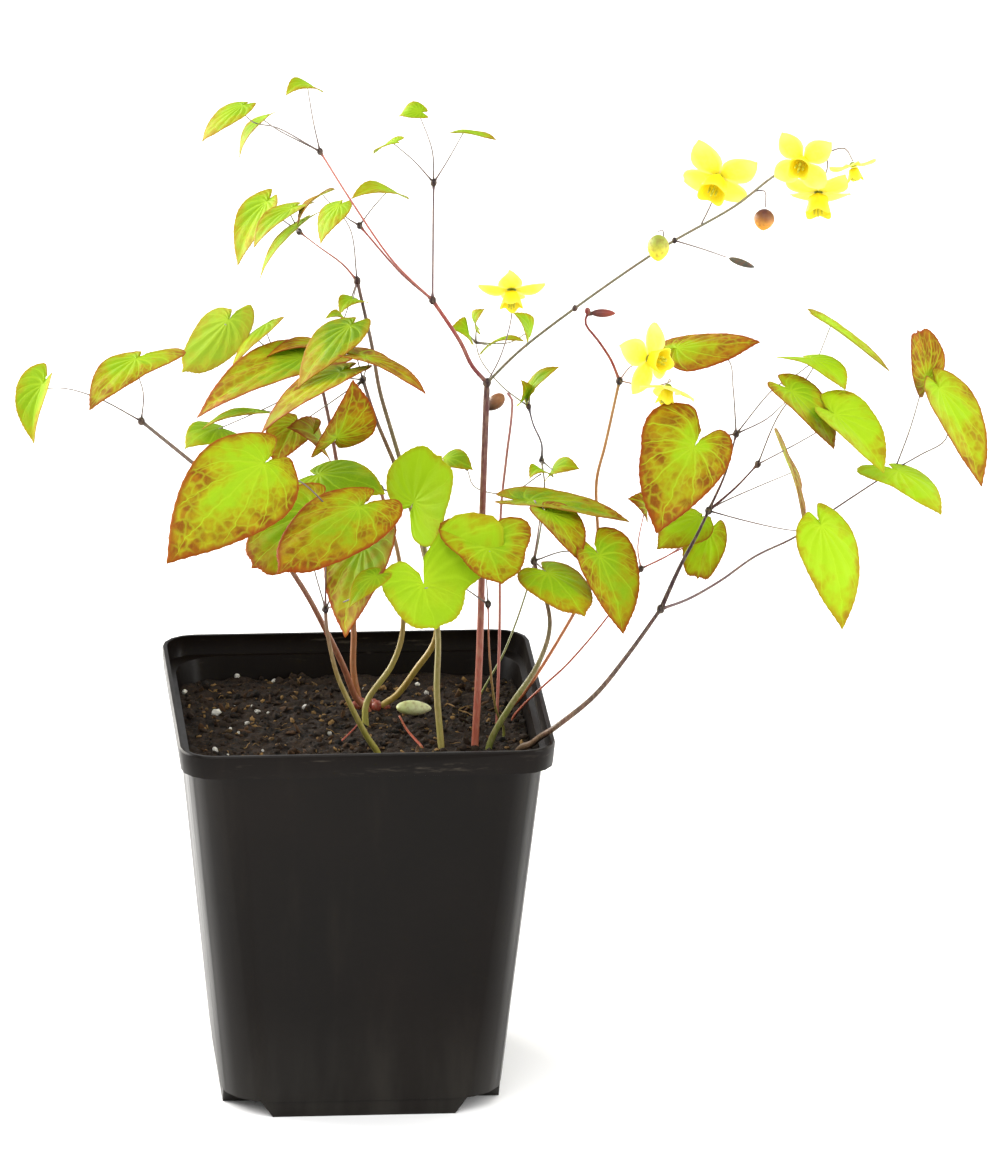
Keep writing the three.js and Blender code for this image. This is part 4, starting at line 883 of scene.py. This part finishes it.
# %% The frond on the right
fork, middle_joint, left_joint = (90, 137, -26), (104, 166.5, -18), (112, 189.5, -12)
upper_joint, far_joint = (118.5, 180.5, -10), (159.5, 179.5, -14)
grow("frond_right", "leaf", stems=[
    ([(48, 94, -17), (52, 96.5, -26), (54.5, 98.5, -32), (59, 101.5, -40), (70.5, 111, -40),
     (80.5, 123.5, -34), fork], STEM + 0.1, "#5e4a34", "#2e1a1e", KNOTTED),
    ([fork, (96, 150.5, -23), (100.5, 159, -20), middle_joint], BRANCH + 0.1, "#2e1a1e", DARK,
     BOTH),
    ([middle_joint, (112, 173.5, -14), upper_joint], THIN, PLUM, PLUM, BOTH),
    ([middle_joint, (109, 178, -16), left_joint], THIN, DARK, PLUM, BOTH),
    ([fork, (98, 140, -26), (107.5, 145.5, -26), (118, 153, -25), (130, 159, -22), (141, 167, -18),
     far_joint], THIN, "#6a5a5c", "#4a3438", BOTH),
], joints=[(fork, 1.45), (middle_joint, 1.3), (left_joint, 1.2), (upper_joint, 1.2),
           (far_joint, 1.2)], leaves=[
    leaf([left_joint, (105, 188, -18)], (99.5, 185.3, -25), (88.5, 159.5, -40), 28, 26, fold=11,
         skew=-0.28, lobes=1.18, flush=0.65, shade=0.25),
    leaf([left_joint, (111, 202.5, -2), (109.5, 211.5, 10), (105, 214.5, 13)], (94.2, 214.8, 15),
         (118.9, 217, 8), 17, -47.5, fold=-19.5, arch=0.5, lobes=0.7, skew=0.3, flush=0.75,
         shade=0.5),
    leaf([left_joint, (123, 203, -8), (130, 207.5, -4)], (134.3, 211.9, -2), (144.5, 203, -12), 16,
         -60, fold=4, lobes=1.3, skew=-0.2, flush=0.1, shade=0.3),
    leaf([left_joint, (121, 194, -13), (126.5, 199, -15)], (128.3, 202.2, -17), (141.3, 185.3, -26),
         22, -60, fold=7, flush=0.4),
    leaf([upper_joint, (126, 184.5, -16), (134, 189, -19)], (141.6, 195.3, -20),
         (156.3, 178.3, -30), 22, -54, fold=15, skew=0.25, flush=0.12, shade=0.2),
    leaf([middle_joint, (107.3, 168.6, -17), (117.2, 173.2, -15)], (128.3, 179, -14),
         (132.3, 163.5, -26), 15, -84, arch=0.5, lobes=2.1, flush=0.9, shade=0.5),
    leaf([middle_joint, (115.5, 163.5, -22), (128, 161, -28)], (137.6, 162.3, -32),
         (144.3, 131.5, -42), 23, -38, fold=-4, arch=2.5, lobes=0.6, flush=0.22, shade=0.15),
    leaf([far_joint], (160.5, 178.8, -20), (173.5, 166, -30), 19, -57, fold=-6, lobes=1.15,
         skew=-0.3, flush=0.1, shade=0.25),
    leaf([far_joint, (164, 192, -8)], (168.7, 206.8, -4), (163.2, 227, 0), 15, 44, fold=10, blunt=1,
         lobes=0.7, flush=0.75),
    leaf([far_joint, (167, 183.8, -12), (174.5, 188.5, -8), (175.5, 197, -6)], (172.6, 203.5, -9),
         (185.5, 174.5, -22), 22, -50, fold=11, lobes=0.6, flush=0.4, shade=0.3),
    leaf([upper_joint, (124.5, 195, -2), (134.3, 208.6, 4)], (138.7, 222.8, 10), (157.7, 208.6, 3),
         15, -80, lobes=0.9, arch=0.5, flush=0.3, shade=0.1),
])

# %% Young growth at the mix
grow("red_shoot", "red_stem", stems=[
    ([(19.5, 94.5, -15), (17.5, 97, -12), (14.5, 100.5, -8), (12.4, 104.4, -6)], THIN + 0.1,
     "#93301f", "#a6543a", NO_KNOT)])
grow("red_stub", "red_stem", stems=[
    ([(-6, 95, -14), (-3.5, 98, -12), (-1, 100.5, -10), (0.5, 102.5, -8)], THREAD + 0.15, "#b8492a",
     "#7d2a22", NO_KNOT)])

# %% [markdown]
# ## Flowers
# A barrenwort flower hangs face down. Four broad inner sepals, pale lemon and thin enough to
# glow, spread in a cross behind a short cup of four deeper yellow petals with small spurs, and
# the stamens just show in its mouth. Sepals are curved sheets, and the cup is a turned wall whose
# radius swells into the spurs and whose edge is cut into lobes.

# %% Petal finishes
def petal_finish(name, heart, body, edge, share):
    made, tree = material(name)
    along, across, kind, _ = note(tree, "bloom")
    place = position(tree)
    lines = node(tree, "ShaderNodeTexWave", {
        "Vector": node(tree, "ShaderNodeCombineXYZ", {0: across, 1: along}).outputs[0],
        "Scale": 3.2, "Distortion": 1.2, "Detail": 2.0}).outputs["Fac"]
    mottle = speckle(place, 700.0)
    colour = mix(ramp(along, 0.0, 0.45), heart, body)
    outward = arithmetic("MAXIMUM", arithmetic("ABSOLUTE", across), along)
    colour = mix(ramp(outward, 0.55, 1.0), colour, edge)
    colour = mix(ramp(lines, 0.55, 0.95, 0, 0.22), colour, heart)
    colour = mix(ramp(mottle, 0.4, 0.7, 0, 0.18), colour, edge)
    colour = mix(ramp(kind, 0.4, 0.6), colour, "#8f9a2e")
    finished(colour, ramp(mottle, 0.3, 0.7, 0.45, 0.6),
             uneven(lines, 0.2, 0.0001), through=colour, share=share)
    return made


sepal_finish = petal_finish("sepal_finish", "#efe634", "#faf45a", "#fdf896", 0.4)
cup_finish = petal_finish("cup_finish", "#e2ce12", "#fae91a", "#fdf23c", 0.3)

# %% Flower shapes
SEPAL_WIDTHS = [(0, 0.1), (0.12, 0.24), (0.3, 0.44), (0.48, 0.5), (0.66, 0.46), (0.82, 0.33),
                (0.93, 0.18), (1, 0.03)]
CUP_GAP = 0.3
SEPAL_ROWS, SEPAL_COLUMNS = 15, 11
SEPAL_START, SEPAL_LENGTH, SEPAL_WIDTH = 0.8, 9, 7.2
SEPAL_HALF, SEPAL_THINNING, SEPAL_RIPPLE = 0.16, 0.07, 0.25
CORE_SIDES, CUP_SIDES = 12, 40
CUP_DEPTH, CUP_WALL = 5, 0.35
CUP_PROFILE = [(0.2, 0), (1.0, 0.0), (1.7, 0.12), (2.1, 0.25), (2.35, 0.4), (2.6, 0.55),
               (2.85, 0.7), (3.05, 0.85), (3.2, 0.97)]
CORE_PROFILE = [(0.35, -0.95), (0.8, -0.7), (1.2, -0.2), (1.3, 0.3), (0.9, 0.5)]
STAMEN_RADII = np.array([0.18, 0.18, 0.18, 0.2, 0.36, 0.4, 0.34, 0.2])
STAMENS, STAMEN_SIDES, ANTHER_FROM = 5, 6, 26


def flower_place(place, facing, spin):
    centre = seen(place)
    axis = unit(seen([p + f for p, f in zip(place, facing)]) - centre)
    turn = Vector((0, 0, 1)).rotation_difference(Vector(axis)).to_matrix()
    spun = Matrix.Rotation(math.radians(spin), 3, "Z")
    whole = np.array(turn @ spun)
    return lambda point: centre + whole @ np.asarray(point, float)


def border_of(rows, columns):
    """The points round a sheet of rows x columns points, in order."""
    edge = list(range(columns)) + [r * columns + columns - 1 for r in range(1, rows)]
    edge += [(rows - 1) * columns + c for c in range(columns - 2, -1, -1)]
    return edge + [r * columns for r in range(rows - 2, 0, -1)]


def sheet_faces(rows, columns):
    """Faces of a closed thin sheet: rows x columns points above and as many below."""
    under, faces = rows * columns, []
    for r in range(rows - 1):
        for a in range(r * columns, (r + 1) * columns - 1):
            quad = (a, a + columns, a + columns + 1, a + 1)
            faces += [quad, tuple(under + i for i in reversed(quad))]
    edge = border_of(rows, columns)
    return faces + [(b, a, a + under, b + under) for a, b in zip(edge, edge[1:] + edge[:1])]


def sepal(growth, put, quarter, length, width, droop):
    rows, columns = SEPAL_ROWS, SEPAL_COLUMNS
    turn = quarter * math.pi / 2
    at, half = zip(*SEPAL_WIDTHS)
    curl, twist = draw.uniform(0.5, 1.1), draw.uniform(-0.6, 0.6)
    points, blooms = [], []
    for side in (1, -1):
        for r in range(rows):
            t = r / (rows - 1)
            for c in range(columns):
                s = 2 * c / (columns - 1) - 1
                out, off = SEPAL_START + t * length, s * width * np.interp(t, at, half)
                z = (-droop * t * t + curl * s * s * math.sin(math.pi * t) + twist * s * t
                     + SEPAL_RIPPLE * math.sin(3 * s + 5 * t) * t
                     + side * (SEPAL_HALF - SEPAL_THINNING * t))
                points.append(put((out * math.cos(turn) - off * math.sin(turn),
                                   out * math.sin(turn) + off * math.cos(turn), z)))
                blooms.append((t, s, 0))
    growth.add(points, sheet_faces(rows, columns), bloom=blooms)


def turned_form(growth, put, profile, sides, shape, **notes_of):
    """A form turned about the flower's axis. shape says how each point grows and lifts."""
    points, faces, notes = [], [], {key: [] for key in notes_of}
    for row, (radius, z) in enumerate(profile):
        for k in range(sides):
            angle = 2 * math.pi * k / sides
            scale, lift = shape(angle, row)
            points.append(put((radius * scale * math.cos(angle), radius * scale * math.sin(angle),
                               z + lift)))
            for key, value in notes_of.items():
                notes[key].append(value(row / (len(profile) - 1), angle))
    for row in range(len(profile) - 1):
        for k in range(sides):
            a, b = row * sides + k, row * sides + (k + 1) % sides
            faces.append((a, b, b + sides, a + sides))
    last = (len(profile) - 1) * sides
    faces.append(tuple(reversed(range(sides))))
    faces.append(tuple(range(last, last + sides)))
    growth.add(points, faces, **notes)


def flower(name, place, facing, spin, size, droop):
    put = flower_place(place, facing, spin)
    sepals, cup = Growth(name + "_sepals_fine"), Growth(name + "_cup_fine")
    for quarter in range(4):
        sepal(sepals, put, quarter, SEPAL_LENGTH * size, SEPAL_WIDTH * size, droop)
    turned_form(sepals, put, CORE_PROFILE, CORE_SIDES, lambda angle, row: (1, 0),
                bloom=lambda t, angle: (t, 0, 1))
    depth, start, wall = CUP_DEPTH * size, 0.5 + CUP_GAP, CUP_PROFILE
    outside = [(r * size, start + z * depth) for r, z in wall]
    inside = [(max(0.15, r * size - CUP_WALL), start + max(z, 0.12) * depth)
              for r, z in reversed(wall)]
    rows = len(wall)

    def petals(angle, row):
        from_base = min(row, 2 * rows - 1 - row) / (rows - 1)
        low_down = math.exp(-((from_base - 0.25) / 0.18) ** 2)
        spur = 0.3 * max(0, math.cos(4 * angle + math.pi)) * low_down
        lobe = 0.09 * math.cos(4 * angle) * from_base
        return 1 + spur + lobe, 0.55 * math.cos(4 * angle) * from_base ** 3

    turned_form(cup, put, outside + inside, CUP_SIDES, petals, bloom=lambda t, angle: (
        min(1, 2 * t, 2 - 2 * t + 0.2), 0.3 * math.cos(4 * angle), 0))
    for k in range(STAMENS):
        angle = 2 * math.pi * k / 4 + 0.7
        lean = 0.9 * (k < 4)
        foot = np.array([lean * math.cos(angle), lean * math.sin(angle), start + 0.1 * depth])
        tip = foot * [1.25, 1.25, 0] + [0, 0, start + depth * (0.98 if k < 4 else 1.12)]
        line = np.array([put(blend(foot, tip, i / 7)) for i in range(len(STAMEN_RADII))])
        points, faces = tube(line, STAMEN_RADII, STAMEN_SIDES)
        cup.add(points, faces,
                bloom=[(0.9, 0.8, 0.5 * (i > ANTHER_FROM)) for i in range(len(points))])
    sepals.finish(sepal_finish, "sepal", name + "_sepals")
    cup.finish(cup_finish, "cup", name + "_cup")


for row in [
    ("flower_low_left", (44.6, 232, -10.5), (0, -1, -0.7), 0, 1, 1.5),
    ("flower_red_stem", (85.6, 211.6, -5.2), (0.75, -0.1, -0.7), 10, 1.15, 2),
    ("flower_red_stem_young", (91.6, 203.3, -9.5), (-0.2, -1, -0.4), 20, 0.85, -2),
    ("flower_spray_first", (106, 266.4, -21), (-0.3, -0.8, -0.9), 0, 1.35, 2),
    ("flower_spray_middle", (131, 271, -29), (-0.2, -0.4, -1), 20, 1.05, 1),
    ("flower_spray_hanging", (135.8, 262, -16), (0, -1, -0.6), 45, 1.25, 2),
    ("flower_spray_last", (146, 270, -24), (0.2, -1, -0.3), 45, 0.7, 0.5),
]:
    flower(*row)

# %% [markdown]
# ## Buds
# A bud is a small egg of four overlapping sepals, seen as four shallow ridges. Its colour runs
# from the stalk to the point, so each bud keeps a start and an end colour on its points.

# %% Buds
bud_finish, tree = material("bud_finish")
stain = note(tree, "stain")[3]
place = position(tree)
mottle = speckle(place, 900.0, 3.0)
colour = mix(ramp(mottle, 0.4, 0.75, 0, 0.45), stain, "#7c3f22")
finished(colour, ramp(mottle, 0.3, 0.7, 0.4, 0.55), uneven(mottle, 0.25, 0.0001),
         through=colour, share=0.15)

BUD_PROFILE = [(0.12, 0), (0.35, 0.03), (0.62, 0.1), (0.85, 0.22), (0.98, 0.36), (1, 0.48),
               (0.93, 0.62), (0.76, 0.76), (0.52, 0.88), (0.26, 0.96), (0.05, 1)]
BUD_SIDES, BUD_RIDGE, BUD_TWIST = 20, 0.05, 0.12


def bud(name, slot, place, facing, length, radius, low, high):
    growth = Growth(name + "_fine")
    turned_form(growth, flower_place(place, facing, 0),
                [(r * radius, z * length) for r, z in BUD_PROFILE], BUD_SIDES,
                lambda angle, row: (1 + BUD_RIDGE * math.cos(4 * angle + BUD_TWIST * row), 0),
                stain=lambda t, angle: blend(linear(low), linear(high), smooth_step(t, 0.2, 0.8)))
    growth.finish(bud_finish, slot, name)


bud("bud_spray_low", "cup", (88.2, 248.6, -23.4), (0, -1, 0), 8, 3.1, "#8f9a34", "#f6e62c")
bud("bud_spray_orange", "bud", (120, 256.6, -22), (-0.1, -1, 0), 6.5, 2.9, "#5a2c1c", "#f0a428")
bud("bud_spray_dark", "bud", (109.3, 241.9, -21), (1, -0.35, 0), 8, 1, "#4a4a38", "#3c3a30")
bud("bud_red_stem", "bud", (68.3, 225.1, 0), (1, 0, 0), 7.2, 1.2, "#4a1818", "#8a3428")
bud("bud_pink_stem", "bud", (42.5, 200.5, 8), (-0.8, -0.75, 0), 6.8, 2.1, "#8a5a2c", "#3a2018")
bud("shoot_tip", "sepal", (11.4, 106.9, -6), (1, -0.02, -0.1), 10.5, 2.2, "#a8b070", "#d8dcb0")

# %% [markdown]
# ## Potting mix
# The mix is dark composted bark: crumbs from dust to a few millimetres, reddish bark slivers,
# pale fibres and some white perlite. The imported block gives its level. A fine grid with several
# sizes of bumps carries loose crumbs, so that its edge against the pot isn't a straight line.

# %% Mix finishes
def ground_finish(name, dark, mid, light, scale):
    made, tree = material(name)
    place = position(tree)
    coarse = speckle(place, scale, 6.0, 0.65)
    fine = speckle(place, scale * 6, 4.0, 0.7)
    own = note(tree, "tone")[0]
    shift = plus(coarse, arithmetic("MULTIPLY_ADD", own, 0.3, -0.15))
    colour = mix(ramp(shift, 0.3, 0.62), dark, mid)
    colour = mix(ramp(fine, 0.58, 0.78, 0, 0.7), colour, light)
    finished(colour, ramp(fine, 0.3, 0.7, 0.8, 0.98), uneven(plus(coarse, fine), 0.8, 0.0006), 0.25)
    return made


mix_finish = ground_finish("mix_finish", "#070402", "#261a10", "#86643e", 300.0)
bark_finish = ground_finish("bark_finish", "#1c120a", "#46301c", "#8a6a44", 500.0)
fibre_finish = ground_finish("fibre_finish", "#4e3c26", "#86683f", "#c2a878", 700.0)
perlite_finish = ground_finish("perlite_finish", "#a8a49c", "#dedbd4", "#f6f4ee", 900.0)

# %% The block of mix
MIX_LEVEL = 105.4
MIX_HALF = 50.45
MIX_CORNER = 13.6
MIX_FLOOR = 6.5
MIX_FLOOR_SHARE = 0.794
MIX_CELLS = 150
MIX_BUMPS = ((1.1, 0.11), (0.9, 0.31), (0.8, 0.9))
MOUND, MOUND_AT, MOUND_SPREAD = 1.2, (16, -8), 700


def mix_height(x, y):
    from_mound = (x - MOUND_AT[0]) ** 2 + (y - MOUND_AT[1]) ** 2
    height = MIX_LEVEL + MOUND * math.exp(-from_mound / MOUND_SPREAD)
    for rise, often in MIX_BUMPS:
        height += rise * noise.noise(Vector((x, y, 0)) * often)
    return height


def half_extent(share):
    """How far the rounded square reaches sideways, at a share of the way to its edge."""
    y = abs(share) * MIX_HALF
    into = max(0, y - (MIX_HALF - MIX_CORNER))
    return MIX_HALF - MIX_CORNER + math.sqrt(max(0, MIX_CORNER ** 2 - into ** 2))


row = MIX_CELLS + 1
lines_at = [2 * i / MIX_CELLS - 1 for i in range(row)]
grid = [(u * half_extent(v), v * MIX_HALF) for v in lines_at for u in lines_at]
border = border_of(row, row)
low = [row * row + i for i in range(len(border))]
points = [(x, y, mix_height(x, y)) for x, y in grid]
points += [(grid[a][0] * MIX_FLOOR_SHARE, grid[a][1] * MIX_FLOOR_SHARE, MIX_FLOOR) for a in border]
faces = [(a, a + 1, a + row + 1, a + row)
         for j in range(MIX_CELLS) for a in range(j * row, j * row + MIX_CELLS)]
faces += zip(border, low, low[1:] + low[:1], border[1:] + border[:1])
faces.append(tuple(reversed(low)))
block = Growth("potting_mix")
block.add(points, faces, tone=[(0.5, 0, 0)] * len(points))
block.finish(mix_finish, "soil", "soil")


# %% Crumbs, bark, fibres and perlite
def lump_shape():
    """The corners and faces of a ball cut into triangles, as a start for crumbs."""
    ball = bmesh.new()
    bmesh.ops.create_icosphere(ball, subdivisions=2, radius=1)
    corners = [np.array(v.co) for v in ball.verts]
    sides = [tuple(v.index for v in f.verts) for f in ball.faces]
    ball.free()
    return corners, sides


LUMP_CORNERS, LUMP_SIDES = lump_shape()
scatter = random.Random(23)


def on_mix(margin):
    while True:
        x, y = (scatter.uniform(-1, 1) * (MIX_HALF - margin) for _ in range(2))
        if abs(x) < half_extent(y / MIX_HALF) - margin:
            return x, y


def lump(growth, place, size, sunk, sharp=0.6):
    turn = np.array(Matrix.Rotation(scatter.uniform(0, 6.3), 3, Vector(
        (scatter.uniform(-1, 1), scatter.uniform(-1, 1), scatter.uniform(0.2, 1))).normalized()))
    x, y = place
    centre = np.array([x, y, mix_height(x, y) + max(size) * (0.5 - sunk)])
    shift = Vector((scatter.uniform(0, 99), 0, 0))
    points = []
    for corner in LUMP_CORNERS:
        bump = 1 + sharp * noise.noise(Vector(corner) * 1.7 + shift)
        points.append(centre + turn @ (corner * bump * size))
    growth.add(points, LUMP_SIDES, tone=[(scatter.random(), 0, 0)] * len(points))


def add_fibre(line, radius, shade, sides):
    points, faces = tube(line, [radius] * len(line), sides)
    fibres.add(points, faces, tone=[(shade, 0, 0)] * len(points))


CRUMBS, SLIVERS, CHAFF, FIBRES, MORE_PERLITE = 900, 150, 300, 60, 12
crumbs, slivers = Growth("mix_crumbs"), Growth("mix_bark")
fibres, perlite = Growth("mix_fibres"), Growth("mix_perlite")
for _ in range(CRUMBS):
    size = 0.45 + 1.2 * scatter.random() ** 3
    lump(crumbs, on_mix(margin=1.6),
         np.array([1, scatter.uniform(0.7, 1), scatter.uniform(0.5, 0.9)]) * size, sunk=0.35)
for _ in range(SLIVERS):
    length = scatter.uniform(0.7, 2.4)
    lump(slivers, on_mix(margin=4.5),
         np.array([length, length * scatter.uniform(0.3, 0.6), 0.4]), sunk=0.35)
for _ in range(CHAFF):
    size = scatter.uniform(0.25, 0.6) + 0.5 * scatter.random() ** 4
    lump(fibres, on_mix(margin=2), np.array([1.4, scatter.uniform(0.6, 1), 0.6]) * size, sunk=0.2)
for _ in range(FIBRES):
    x, y = on_mix(margin=5)
    heading, length = scatter.uniform(0, 6.3), scatter.uniform(2, 5)
    bow = scatter.uniform(-0.25, 0.25)
    line = []
    for i in range(7):
        t = i / 6 - 0.5
        px = x + length * t * math.cos(heading) - bow * length * (t * t) * math.sin(heading)
        py = y + length * t * math.sin(heading) + bow * length * (t * t) * math.cos(heading)
        line.append(np.array([px, py, mix_height(px, py) + 0.35 + 0.3 * math.sin(5 * t)]))
    radius = scatter.uniform(0.06, 0.14)
    add_fibre(np.array(line), radius, scatter.random(), 5)
# A dead twig with one side shoot lies on the mix.
SPRIG = [[(26.5, 108.2, 24), (28.2, 107.6, 21.5), (30, 106.3, 19), (32.4, 105.6, 16),
          (34.2, 104.6, 14)],
         [(30, 106.3, 19), (31.6, 107.2, 19.5), (33, 107.5, 20)]]
for route in SPRIG:
    line = curve_through([seen(point) for point in route], 1)
    add_fibre(line, 0.2, 1, 6)
PERLITE_SEEN = [(-42.2, 104.3, 1.5), (-15.4, 106.4, 1.2), (-42.5, 94.1, 1.1), (-51.8, 110.3, 0.9),
                (-30.0, 105.2, 1.0), (-35.6, 98.9, 0.9), (-33.0, 101.9, 0.8), (-25.2, 114.4, 0.9),
                (-36.2, 115, 0.9), (20.4, 110.8, 0.9), (2.0, 112.6, 0.8), (-8.4, 99.0, 0.8)]
PERLITE_SHAPE = np.array([1, 0.85, 0.75])
MIX_SEEN = 99.7
for across, height, radius in PERLITE_SEEN:
    back = (height - MIX_SEEN) / MIX_RISE
    x, y, _ = seen((across, height, back))
    lump(perlite, (x, y), PERLITE_SHAPE * radius, sunk=0.2, sharp=0.5)
for _ in range(MORE_PERLITE):
    lump(perlite, on_mix(margin=3), PERLITE_SHAPE * scatter.uniform(0.35, 0.8), sunk=0.25,
         sharp=0.5)
for loose, paint in ((crumbs, mix_finish), (slivers, bark_finish), (fibres, fibre_finish),
                     (perlite, perlite_finish)):
    loose.finish(paint, "soil")

# %% [markdown]
# ## The pot
# The pot is thin blow-moulded plastic, warm black, with a fine matt skin that turns glossy where
# it is rubbed. Its shape is right in the imported model, so it keeps that node: a small bevel
# rounds its edges, smooth shading joins the faces of its corners, and the finish adds the grain,
# a paler band low down that is dust and a painted floor reflection, and pale scuffs along the rim.

# %% Pot finish
pot_finish, tree = material("pot_finish")
place = position(tree)
skin = speckle(place, 2200.0)
wave = speckle(place, 18.0, 3.0)
streaks = speckle(stretched(place, (1, 1, 0.12)), 90.0, 4.0, 0.6)
scuffs = speckle(stretched(place, (0.15, 0.15, 1)), 420.0, 4.0, 0.65)
z = node(tree, "ShaderNodeSeparateXYZ", {0: place}).outputs[2]
at_rim = ramp(z, 0.106, 0.114)
at_foot = ramp(z, 0.0, 0.04, 1, 0)
colour = mix(ramp(wave, 0.3, 0.7), "#0a0705", "#100b08")
colour = mix(ramp(streaks, 0.5, 0.8, 0, 0.2), colour, "#2a241d")
# Dust and a painted floor reflection: the colour turns a paler grey towards the foot.
dust_and_floor_reflection = times(at_foot, ramp(streaks, 0.3, 0.7, 0.15, 0.4))
colour = mix(dust_and_floor_reflection, colour, "#34322e")
scuffed = times(ramp(scuffs, 0.6, 0.74), ramp(at_rim, 0, 1, 0, 0.3))
colour = mix(scuffed, colour, "#5a5248")
gloss = plus(ramp(streaks, 0.3, 0.7, 0.28, 0.38), times(scuffed, 0.3))
grained = uneven(skin, 0.12, 0.0001)
finished(colour, gloss, uneven(wave, 0.25, 0.002, grained), 0.1)

# %% Pot edges
def smooth_shading(angle):
    """A modifier that shades smoothly across every edge flatter than angle."""
    group = bpy.data.node_groups.new("smooth_shading", "GeometryNodeTree")
    group.interface.new_socket("Geometry", in_out="INPUT", socket_type="NodeSocketGeometry")
    group.interface.new_socket("Geometry", in_out="OUTPUT", socket_type="NodeSocketGeometry")
    shape = node(group, "NodeGroupInput")
    bare = node(group, "GeometryNodeRemoveAttribute", {"Geometry": shape.outputs[0]})
    bare.inputs["Name"].default_value = "custom_normal"
    faces_smooth = node(group, "GeometryNodeSetShadeSmooth", {"Geometry": bare.outputs[0]},
                        domain="FACE")
    bend = node(group, "GeometryNodeInputMeshEdgeAngle")
    flat = node(group, "FunctionNodeCompare", {0: bend.outputs[0], 1: angle}, operation="LESS_THAN")
    edges_smooth = node(group, "GeometryNodeSetShadeSmooth",
                        {"Geometry": faces_smooth.outputs[0], "Shade Smooth": flat.outputs[0]},
                        domain="EDGE")
    node(group, "NodeGroupOutput", {0: edges_smooth.outputs[0]})
    return group


SAME_POINT = 0.001 * MM
BEVEL_WIDTH = 0.35 * MM
BEVEL_ABOVE, SMOOTH_BELOW = math.radians(35), math.radians(32)
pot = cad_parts["pot"]
for slot_of in pot.material_slots:
    slot_of.material = pot_finish
joined = pot.modifiers.new("joined", "WELD")
joined.merge_threshold = SAME_POINT
bevel = pot.modifiers.new("edges", "BEVEL")
bevel.width = BEVEL_WIDTH
bevel.segments = 2
bevel.limit_method = "ANGLE"
bevel.angle_limit = BEVEL_ABOVE
shading = pot.modifiers.new("shading", "NODES")
shading.node_group = smooth_shading(SMOOTH_BELOW)
print("pot:", [m.name for m in pot.modifiers])
